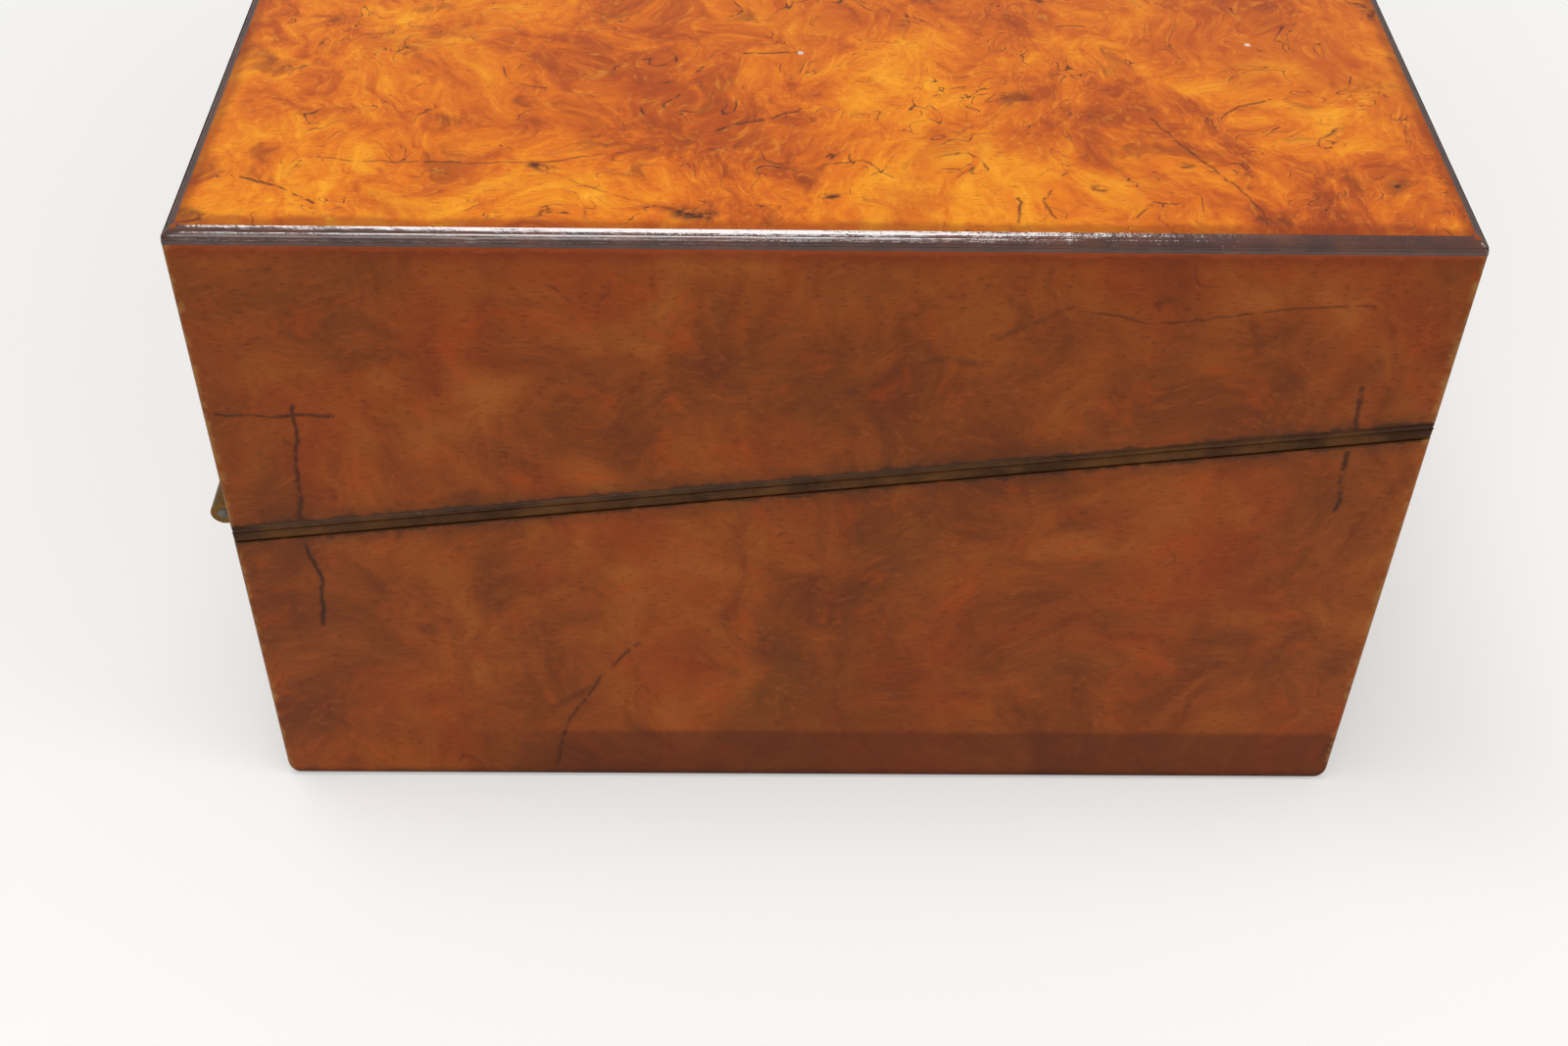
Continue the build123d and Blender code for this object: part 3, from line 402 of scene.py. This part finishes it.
    by_hand = within(tree, darkest(tree, by_hand), near_end)
    wave = blotches(tree, tight, 30.0, 2.0, 0.5)
    off = add(tree, "ShaderNodeMath", {0: wave, 1: 0.5}, operation="SUBTRACT")
    off = add(tree, "ShaderNodeMath", {0: off}, operation="ABSOLUTE")
    where = blotches(tree, mm, 22.0, 2.0)
    drift = within(tree, 0.45, (off, 0.006, 0.0), (where, 0.60, 0.68))
    broken = blotches(tree, mm, 3.0, 3.0, 0.6)
    cracks = within(tree, darkest(tree, [by_hand, drift]), (broken, 0.30, 0.52))
    tone = stained(tree, tone, "#341A0C", cracks)

    sag = blotches(tree, mm, 16.0, 2.0)
    height = add(tree, "ShaderNodeMath", {0: sag, 1: cracks}, operation="SUBTRACT")
    finish(
        tree,
        shader,
        tone,
        height,
        0.06,
        Roughness=0.42,
        Specular_IOR_Level=0.18,
        Coat_Weight=0.12,
        Coat_Roughness=0.10,
    )
    return material


# Pearwood stained black and polished, on the top edges and the rims. A dark body with a wet skin:
# it shows as one bright line where it turns to the light, broken by fine scratches along it.
# The top edge's coat has a higher index than shellac's 1.5, to bring that line nearer to the
# photograph's. It is still thinner and less white.
def ebonised(name, deep, worn, roughness, coat, gloss, coat_index):
    material, tree, shader, mm = new_material(name)
    clouds = blotches(tree, mm, 9.0, 4.0, 0.6)
    tone = add(tree, "ShaderNodeValToRGB", {"Fac": clouds}, stops=[(0.38, deep), (0.64, worn)])
    scratch = blotches(tree, mm, 0.35, 3.0, 0.6, (14.0, 14.0, 1.0))
    tone = stained(tree, tone, "#85695C", 0.35, (scratch, 0.60, 0.74))
    nick = blotches(tree, mm, 2.2, 4.0, 0.65, (1.6, 1.6, 1.0))
    tone = stained(tree, tone, "#9A7C68", 0.60, (nick, 0.70, 0.78))
    height = add(tree, "ShaderNodeMix", {"Factor": 0.25, "A": nick, "B": scratch})
    finish(
        tree,
        shader,
        tone,
        height,
        0.15,
        Roughness=roughness,
        Specular_IOR_Level=gloss,
        Coat_Weight=coat,
        Coat_Roughness=0.10,
        Coat_IOR=coat_index,
    )
    return material


# Straight-grained solid wood, planed and polished or left bare: lines of pores along the board.
def straight_wood(name, dark, light, size, stretch, roughness, coat):
    material, tree, shader, mm = new_material(name)
    bent = swirled(tree, mm, 60.0, 3.0)
    bands = blotches(tree, bent, size, 4.0, 0.6, stretch)
    fine = blotches(tree, mm, size / 6, 3.0, 0.6, stretch)
    both = add(tree, "ShaderNodeMix", {"Factor": 0.4, "A": bands, "B": fine})
    tone = add(tree, "ShaderNodeValToRGB", {"Fac": both}, stops=[(0.38, dark), (0.62, light)])
    handled = blotches(tree, mm, 30.0, 3.0, 0.6)
    tone = stained(tree, tone, dark, 0.35, (handled, 0.52, 0.70))
    finish(
        tree,
        shader,
        tone,
        fine,
        0.05,
        Roughness=roughness,
        Specular_IOR_Level=0.35,
        Coat_Weight=coat,
        Coat_Roughness=0.15,
    )
    return material


# Sheet brass, filed and once lacquered. It keeps a soft gold face with brown tarnish in clouds,
# and the barrels outside the case have gone brown.
def old_brass():
    material, tree, shader, mm = new_material("Filed brass, tarnished")
    clouds = blotches(tree, mm, 7.0, 4.0, 0.65)
    gold = [(0.30, "#967436"), (0.50, "#B48E48"), (0.72, "#CCA85A")]
    tone = add(tree, "ShaderNodeValToRGB", {"Fac": clouds}, stops=gold)
    parts = add(tree, "ShaderNodeSeparateXYZ", {"Vector": mm})
    tone = stained(tree, tone, "#7E5C32", 0.85, (parts.outputs["X"], -119.5, -121.0))
    spots = blotches(tree, mm, 1.6, 3.0, 0.6)
    tone = stained(tree, tone, "#4A3416", 0.35, (spots, 0.60, 0.72))
    filed = blotches(tree, mm, 0.30, 2.0, 0.5, (1.0, 14.0, 1.0))
    finish(tree, shader, tone, filed, 0.02, Metallic=1.0, Roughness=0.34)
    return material


# Forged steel loops, dull grey with brown rust in the pits.
def old_steel():
    material, tree, shader, mm = new_material("Forged steel, dull")
    clouds = blotches(tree, mm, 3.0, 4.0, 0.6)
    grey = [(0.36, "#4E4640"), (0.55, "#7C7872"), (0.70, "#94908A")]
    tone = add(tree, "ShaderNodeValToRGB", {"Fac": clouds}, stops=grey)
    finish(tree, shader, tone, clouds, 0.03, Metallic=1.0, Roughness=0.42)
    return material


# Skiver, sheepskin dyed green and pasted down, with a gilt line and a blind line tooled round it.
# The pebbled grain is fine and dull, rubbed paler where the hand and the paper lay.
def skiver():
    material, tree, shader, mm = new_material("Dyed skiver leather")
    worn = blotches(tree, mm, 45.0, 4.0, 0.6)
    green = [(0.36, "#16281A"), (0.50, "#1F3A24"), (0.62, "#2D4C2E"), (0.72, "#496244")]
    tone = add(tree, "ShaderNodeValToRGB", {"Fac": worn}, stops=green)
    grain = add(tree, "ShaderNodeTexVoronoi", {"Vector": mm, "Scale": 1 / 0.8})
    tone = stained(tree, tone, "#12200F", 0.35, (grain, 0.45, 0.75))
    ink = blotches(tree, mm, 14.0, 2.0, 0.5)
    tone = stained(tree, tone, "#11141C", 0.75, (ink, 0.74, 0.77))
    edge = add(tree, "ShaderNodeAttribute", attribute_name="from_edge")
    lines = []
    for place, half_width in ((7.0, 0.55), (9.6, 0.35)):
        off = add(
            tree, "ShaderNodeMath", {0: edge.outputs["Fac"], 1: place}, operation="SUBTRACT"
        )
        off = add(tree, "ShaderNodeMath", {0: off}, operation="ABSOLUTE")
        lines.append(within(tree, 1.0, (off, half_width + 0.25, half_width - 0.15)))
    rubbed = blotches(tree, mm, 5.0, 3.0, 0.6)
    gilt = within(tree, lines[0], (rubbed, 0.66, 0.52))
    tone = stained(tree, tone, "#0E1A10", lines[1])
    tone = stained(tree, tone, "#A8843C", gilt)
    pressed = darkest(tree, lines)
    height = add(tree, "ShaderNodeMath", {0: grain, 1: pressed}, operation="SUBTRACT")
    finish(tree, shader, tone, height, 0.12, Roughness=0.52, Specular_IOR_Level=0.4)
    tree.links.new(gilt.outputs[0], shader.inputs["Metallic"])
    return material


# Bottle glass pressed in a mould: clear, faintly green, with a slow waviness in its faces.
def moulded_glass():
    material, tree, shader, mm = new_material("Moulded bottle glass")
    waves = blotches(tree, mm, 8.0, 2.0)
    tint = [(0.3, "#DDEDE4"), (0.7, "#EAF5EF")]
    tone = add(tree, "ShaderNodeValToRGB", {"Fac": waves}, stops=tint)
    finish(
        tree, shader, tone, waves, 0.05, Roughness=0.03, IOR=1.52, Transmission_Weight=1.0
    )
    return material


# Wool baize, woven then teased up: a short dull nap with paler fibre ends.
def wool_baize():
    material, tree, shader, mm = new_material("Wool baize")
    fibres = blotches(tree, mm, 0.5, 4.0, 0.75)
    green = [(0.34, "#14301B"), (0.66, "#2E5A36")]
    tone = add(tree, "ShaderNodeValToRGB", {"Fac": fibres}, stops=green)
    finish(tree, shader, tone, fibres, 0.20, Roughness=0.95, Sheen_Weight=0.4)
    return material


top_walnut = burr_top()
shaded_side_walnut = shaded_walnut_sides()
edge_black = ebonised("Ebonised pearwood, top edge", "#401808", "#5E2C14", 0.30, 1.0, 0.20, 1.8)
rim_black = ebonised("Ebonised pearwood, rims", "#3E2006", "#603A12", 0.44, 0.20, 0.12, 1.5)
rim_walnut = straight_wood(
    "Polished walnut, rims", "#52290F", "#7A4422", 2.8, (10.0, 10.0, 1.0), 0.38, 0.4
)
mahogany = straight_wood(
    "Polished mahogany", "#5A2410", "#86401E", 2.4, (1.0, 14.0, 1.0), 0.40, 0.4
)
pine = straight_wood(
    "Stained pine, carcase", "#5E3418", "#86542A", 4.0, (1.0, 14.0, 1.0), 0.62, 0.1
)
brass = old_brass()
steel = old_steel()
leather = skiver()
glass = moulded_glass()
baize = wool_baize()
finish_by_slot = {
    "top_burr_walnut": top_walnut,
    "side_burr_walnut": shaded_side_walnut,
    "dark_edging": edge_black,
    "rim_walnut": rim_walnut,
    "inner_mahogany": mahogany,
    "carcase_pine": pine,
    "flap_leather": leather,
    "brass": brass,
    "screw_brass": brass,
    "steel": steel,
    "inkwell_glass": glass,
    "green_baize": baize,
}
for part in frame["record"]["subparts"]:
    mesh = nodes[part["node"]].data
    mesh.materials.clear()
    mesh.materials.append(finish_by_slot[part["material_slot"]])


# Helpers for pieces
def piece(name, shape, material, body, stands_for):
    """Makes an object of a finished bmesh and lets it ride in place of a CAD node."""
    bmesh.ops.recalc_face_normals(shape, faces=shape.faces)
    for edge in shape.edges:
        edge.smooth = len(edge.link_faces) == 2 and edge.calc_face_angle() < SHARP
    for face in shape.faces:
        face.smooth = True
    mesh = bpy.data.meshes.new(name)
    shape.to_mesh(mesh)
    shape.free()
    mesh.materials.append(material)
    made = bpy.data.objects.new(name, mesh)
    scene.collection.objects.link(made)
    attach(made, body)
    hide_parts(stands_for)
    return made


def everything(shape):
    return shape.verts[:] + shape.edges[:] + shape.faces[:]


def case_frame(low, high, width):
    """A frame of that width round the case's outline, between two planes of (point, normal)."""
    shape = bmesh.new()
    bmesh.ops.create_cube(shape, size=MM)
    bmesh.ops.scale(shape, verts=shape.verts, vec=(2 * HALF_WIDTH, 2 * HALF_LENGTH, HEIGHT))
    bmesh.ops.translate(shape, verts=shape.verts, vec=(0, 0, HEIGHT / 2 * MM))
    caps = []
    for point, normal in (low, high):
        cut = bmesh.ops.bisect_plane(
            shape, geom=everything(shape), plane_co=point, plane_no=normal, clear_outer=True
        )
        loop = [e for e in cut["geom_cut"] if isinstance(e, bmesh.types.BMEdge)]
        if loop:
            caps += bmesh.ops.edgeloop_fill(shape, edges=loop)["faces"]
        else:
            caps += [max(shape.faces, key=lambda f: f.calc_center_median().dot(normal))]
    for cap in caps:
        bmesh.ops.inset_region(
            shape, faces=[cap], thickness=width * MM, use_even_offset=True, use_boundary=True
        )
    holes = [edge for cap in caps for edge in cap.edges]
    bmesh.ops.delete(shape, geom=caps, context="FACES_ONLY")
    bmesh.ops.bridge_loops(shape, edges=holes)
    return shape


def outer_edges(shape, normal):
    """The edges all round the outside of the frame's face that looks along normal."""
    same_way, across, at_side = 0.99, 0.3, 0.9999
    found = []
    for edge in shape.edges:
        faces = edge.link_faces
        looks = [face for face in faces if face.normal.dot(normal) > same_way]
        walls = [face for face in faces if abs(face.normal.dot(normal)) < across]
        middle = (edge.verts[0].co + edge.verts[1].co) / 2
        reach = max(abs(middle.x) / HALF_WIDTH, abs(middle.y) / HALF_LENGTH) / MM
        if looks and walls and reach > at_side:
            found.append(edge)
    return found


def corner_edges(shape):
    """The edges that run over the frame's four outer corners."""
    hair, furthest_in = 1e-6, 2.9 * MM
    found = []
    for edge in shape.edges:
        gaps = [
            (HALF_WIDTH * MM - abs(v.co.x)) - (HALF_LENGTH * MM - abs(v.co.y)) for v in edge.verts
        ]
        inward = [HALF_WIDTH * MM - abs(v.co.x) for v in edge.verts]
        if max(map(abs, gaps)) < hair and max(inward) < furthest_in:
            found.append(edge)
    return found


def eased(shape, edges, reach, segments, profile):
    """Bevels some edges."""
    bmesh.ops.bevel(
        shape,
        geom=edges,
        offset=reach * MM,
        offset_type="OFFSET",
        affect="EDGES",
        segments=segments,
        profile=profile,
        material=-1,
    )


def cut_across(shape, spacing):
    """Cuts the long runs into short lengths, so that they can be dented."""
    for axis, half in ((0, HALF_WIDTH), (1, HALF_LENGTH)):
        count = round(2 * half / spacing)
        for n in range(1, count):
            point = Vector((0, 0, 0))
            point[axis] = (-half + 2 * half * n / count) * MM
            normal = Vector((0, 0, 0))
            normal[axis] = 1.0
            bmesh.ops.bisect_plane(
                shape, geom=everything(shape), plane_co=point, plane_no=normal, dist=1e-7
            )


def knocked(shape, depth, size, chips):
    """Dents the outside inwards by up to depth millimetres, and by more at each chip."""
    inside = Vector((0, 0, 0.05))
    skin = 1.4
    bmesh.ops.recalc_face_normals(shape, faces=shape.faces)
    shape.normal_update()
    moves = []
    for vert in shape.verts:
        place = vert.co / MM
        bump = 0.5 + 0.5 * noise.noise(place / size) + 0.25 * noise.noise(place / (size / 4))
        inward = depth * min(max(bump, 0.0), 1.0)
        for centre, reach, deep in chips:
            away = (place - Vector(centre)).length / reach
            inward += deep * max(0.0, 1.0 - away * away)
        inset = min(HALF_WIDTH - abs(place.x), HALF_LENGTH - abs(place.y))
        facing_out = vert.normal.dot(vert.co - inside) > 0 and inset < skin
        moves.append((vert, vert.normal * inward * MM * facing_out))
    for vert, move in moves:
        moved = vert.co - move
        for axis, limit in ((0, HALF_WIDTH * MM), (1, HALF_LENGTH * MM), (2, HEIGHT * MM)):
            moved[axis] = min(max(moved[axis], -limit), limit)
        vert.co = moved


def worn_drop(inset):
    """How far the worn edge lies under the top at inset millimetres in from the case's side."""
    share = max(1.0 - inset / WORN_REACH, 0.0)
    return WORN_DROP * (1.0 - math.sqrt(1.0 - share**2))


def rounded_down(shape):
    """Lays what is near the lid's upper edge on one worn curve, a quarter of an ellipse."""
    for vert in shape.verts:
        inset = min(HALF_WIDTH - abs(vert.co.x) / MM, HALF_LENGTH - abs(vert.co.y) / MM)
        highest = (HEIGHT - worn_drop(max(inset, 0.0))) * MM
        vert.co.z = min(vert.co.z, highest)


def top_edge():
    """The ebonised moulding round the lid's top: a soft knuckle of wood, dented by use."""
    up = Vector((0, 0, 1))
    low = (Vector((0, 0, HEIGHT - EDGE_DEPTH)) * MM, -up)
    high = (Vector((0, 0, HEIGHT)) * MM, up)
    shape = case_frame(low, high, EDGE_WIDTH)
    eased(shape, outer_edges(shape, up), EDGE_WIDTH - 0.1, 7, 0.5)
    rounded_down(shape)
    eased(shape, corner_edges(shape), ARRIS, 3, 0.5)
    cut_across(shape, 4.0)
    chips = [
        ((48.0, -HALF_LENGTH, HEIGHT - 1.0), 2.6, 0.5),
        ((51.0, -HALF_LENGTH, HEIGHT - 0.6), 1.8, 0.3),
        ((-118.5, -176.0, HEIGHT - 0.5), 2.4, 0.6),
        ((-64.0, -HALF_LENGTH, HEIGHT - 3.0), 2.0, 0.4),
        ((86.0, -HALF_LENGTH, HEIGHT - 3.0), 2.2, 0.4),
        ((120.0, 60.0, HEIGHT - 1.0), 3.0, 0.5),
        ((-120.0, -40.0, HEIGHT - 1.0), 3.0, 0.5),
        ((-30.0, HALF_LENGTH, HEIGHT - 1.0), 2.6, 0.5),
    ]
    knocked(shape, 0.06, 18.0, chips)
    piece("ebonised_top_edge", shape, edge_black, "lid", "lid_edge_bead")


def top_leaf():
    """The leaf of burr on the lid's top, its edge rubbed down to the moulding."""
    shape = bmesh.new()
    bmesh.ops.create_cube(shape, size=MM)
    reach = (2 * (HALF_WIDTH - EDGE_WIDTH), 2 * (HALF_LENGTH - EDGE_WIDTH), LEAF_DEPTH)
    bmesh.ops.scale(shape, verts=shape.verts, vec=reach)
    bmesh.ops.translate(shape, verts=shape.verts, vec=(0, 0, (HEIGHT - LEAF_DEPTH / 2) * MM))
    top = max(shape.faces, key=lambda face: face.calc_center_median().z)
    rings, spacing = 9, 0.4
    for _ in range(rings):
        bmesh.ops.inset_region(shape, faces=[top], thickness=spacing * MM, use_even_offset=True)
    rounded_down(shape)
    piece("burr_top_leaf", shape, top_walnut, "lid", "lid_top_veneer")


def rim_line(name, low_w, high_w, body, stands_for):
    """The ebonised line round a rim, its arris at the saw cut worn round."""
    origin = Vector((HINGE_X, 0, HINGE_Z)) * MM
    low = (origin + SQUARE_TO_SLOPE * low_w * MM, -SQUARE_TO_SLOPE)
    high = (origin + SQUARE_TO_SLOPE * high_w * MM, SQUARE_TO_SLOPE)
    shape = case_frame(low, high, LINE_WIDTH)
    facing = SQUARE_TO_SLOPE if body == "base" else -SQUARE_TO_SLOPE
    eased(shape, outer_edges(shape, facing), 0.5, 3, 0.5)
    eased(shape, corner_edges(shape), ARRIS, 3, 0.5)
    cut_across(shape, 5.0)
    knocked(shape, 0.12, 9.0, [])
    piece(name, shape, rim_black, body, stands_for)


def writing_leather(name, stands_for, low_u, high_u, face_w, body):
    """One flap's leather: a thin pasted sheet, a little uneven.

    Its from_edge layer holds each point's distance from the sheet's edge, for the tooled lines.
    """
    half_run = (high_u - low_u) / 2
    half_reach = LEATHER_HALF_REACH
    spacing = 1.5
    shape = bmesh.new()
    bmesh.ops.create_grid(
        shape,
        x_segments=round(half_run / spacing),
        y_segments=round(half_reach / spacing),
        size=1.0,
    )
    from_edge = shape.verts.layers.float.new("from_edge")
    for vert in shape.verts:
        run, reach = vert.co.x * half_run, vert.co.y * half_reach
        vert[from_edge] = min(half_run - abs(run), half_reach - abs(reach))
        ripple = noise.noise(Vector((run, reach, low_u)) / 22.0)
        sink = 0.05 + 0.05 * ripple + (0.10 if vert[from_edge] < 0.5 else 0.0)
        vert.co = Vector((run, reach, -sink if body == "base" else sink)) * MM
    bmesh.ops.recalc_face_normals(shape, faces=shape.faces)
    inward = LEATHER_DEPTH if body == "base" else -LEATHER_DEPTH
    bmesh.ops.solidify(shape, geom=everything(shape), thickness=inward * MM)
    middle = Vector(((low_u + high_u) / 2, 0, face_w)) * MM
    turn = Matrix.Rotation(-SLANT, 4, "Y")
    place = Matrix.Translation(Vector((HINGE_X, 0, HINGE_Z)) * MM) @ turn
    bmesh.ops.transform(shape, matrix=place @ Matrix.Translation(middle), verts=shape.verts)
    made = piece(name, shape, leather, body, stands_for)


def bottle_felt(name, middle_y):
    """A square of baize under one bottle, its cut edge a little frayed."""
    shape = bmesh.new()
    bmesh.ops.create_grid(shape, x_segments=24, y_segments=24, size=16.0 * MM)
    for vert in shape.verts:
        place = vert.co / MM
        fray = 1.0 - 0.012 * (1.0 + noise.noise(place / 1.5 + Vector((0, middle_y, 0))))
        vert.co = Vector((place.x * fray, place.y * fray, 0.0)) * MM
    bmesh.ops.solidify(shape, geom=everything(shape), thickness=FELT_DEPTH * MM)
    middle = Vector((BOTTLE_X, middle_y, FELT_TOP)) * MM
    bmesh.ops.translate(shape, verts=shape.verts, vec=middle)
    made = piece(name, shape, baize, "base", "inkwell_pads")


top_edge()
top_leaf()
rim_line("ebonised_lid_line", HALF_CUT, HALF_CUT + LINE_DEPTH, "lid", "lid_stringing")
rim_line("ebonised_base_line", -HALF_CUT - LINE_DEPTH, -HALF_CUT, "base", "base_stringing")
writing_leather("base_skiver", "base_flap_leather", 37.4, 154.4, -LEATHER_FACE, "base")
writing_leather("lid_skiver", "lid_flap_leather", 38.5, 213.5, LEATHER_FACE, "lid")
bottle_felt("near_bottle_felt", -BOTTLE_Y)
bottle_felt("far_bottle_felt", BOTTLE_Y)


# Studio
def studio():
    """Pale floor, soft lamps, white surroundings and the camera.

    Camera rays and rays through the glass see the floor and surroundings brighter than they light
    the case. Reflections see them at the plain level.
    """
    plan = bmesh.new()
    bmesh.ops.create_grid(plan, x_segments=1, y_segments=1, size=30.0)
    mesh = bpy.data.meshes.new("studio_floor")
    plan.to_mesh(mesh)
    plan.free()
    floor = bpy.data.objects.new("studio_floor", mesh)
    floor.location.z = -0.0002
    scene.collection.objects.link(floor)
    material = bpy.data.materials.new("Pale floor")
    material.use_nodes = True
    world = bpy.data.worlds.new("White surroundings")
    scene.world = world
    world.use_nodes = True
    seen_share = {}
    for tree in (material.node_tree, world.node_tree):
        tree.nodes.clear()
        rays = add(tree, "ShaderNodeLightPath").outputs
        seen_share[tree] = add(
            tree,
            "ShaderNodeMath",
            {0: rays["Is Camera Ray"], 1: rays["Is Transmission Ray"]},
            operation="MAXIMUM",
        )

    tree = material.node_tree
    place = add(tree, "ShaderNodeTexCoord")
    distance = add(
        tree, "ShaderNodeVectorMath", {0: place.outputs["Object"]}, operation="LENGTH"
    )
    root = add(tree, "ShaderNodeMath", {0: distance}, operation="SQRT")
    # Painted shade: the floor's camera-ray brightness is lowest by the case and rises further off.
    painted_shade_near_case = add(
        tree,
        "ShaderNodeMapRange",
        {"Value": root, "From Min": 0.40, "From Max": 1.90, "To Min": 0.34, "To Max": 0.80},
    )
    lifted = add(
        tree, "ShaderNodeMath", {0: seen_share[tree], 1: painted_shade_near_case}, operation="MULTIPLY"
    )
    matte = add(tree, "ShaderNodeBsdfDiffuse", {"Color": colour("#C6C5C3")})
    bright = add(tree, "ShaderNodeEmission", {"Color": colour("#FFFFFE"), "Strength": lifted})
    both = add(tree, "ShaderNodeAddShader", {0: matte, 1: bright})
    add(tree, "ShaderNodeOutputMaterial", {"Surface": both})
    mesh.materials.append(material)

    tree = world.node_tree
    place = add(tree, "ShaderNodeTexCoord")
    parts = add(tree, "ShaderNodeSeparateXYZ", {"Vector": place.outputs["Generated"]})
    fall = {"From Min": 0.15, "From Max": 0.60, "To Min": 0.97, "To Max": 0.18}
    backdrop = add(
        tree,
        "ShaderNodeMapRange",
        {"Value": parts.outputs["Z"], **fall},
        interpolation_type="SMOOTHSTEP",
    )
    strength = add(
        tree, "ShaderNodeMix", {"Factor": seen_share[tree], "A": 0.44, "B": backdrop}
    )
    sky = add(tree, "ShaderNodeBackground", {"Color": colour("#FBFBFA"), "Strength": strength})
    add(tree, "ShaderNodeOutputWorld", {"Surface": sky})

    middle_of_case = Vector((0, 0, 0.08))
    for name, place, width, depth, power in (
        ("overhead_softbox", (-0.14, -0.18, 1.30), 0.80, 0.36, 9.0),
        ("front_softbox", (-0.40, -1.45, 0.70), 0.80, 0.80, 4.5),
        ("side_softbox", (1.20, -0.55, 0.80), 0.60, 0.60, 3.2),
    ):
        lamp = bpy.data.lights.new(name, "AREA")
        lamp.shape = "RECTANGLE"
        lamp.size = width
        lamp.size_y = depth
        lamp.energy = power
        holder = bpy.data.objects.new(name, lamp)
        holder.location = place
        aim = middle_of_case - Vector(place)
        holder.rotation_euler = aim.to_track_quat("-Z", "Y").to_euler()
        scene.collection.objects.link(holder)

    # The camera's turn and place were worked out from the photograph's three vanishing points.
    right = Vector((0.99988466, -0.00526393, 0.01424604))
    down = Vector((0.00677493, -0.68491793, -0.72858872))
    ahead = Vector((0.01359261, 0.7286012, -0.68480328))
    camera = bpy.data.cameras.new("camera")
    camera.sensor_width = 36.0
    camera.lens = 45.114
    camera.clip_start = 0.02
    holder = bpy.data.objects.new("camera", camera)
    turn = Matrix((right, -down, -ahead)).transposed().to_4x4()
    holder.matrix_world = Matrix.Translation(Vector((-12.447, -471.237, 356.620)) * MM) @ turn
    scene.collection.objects.link(holder)
    scene.camera = holder


studio()
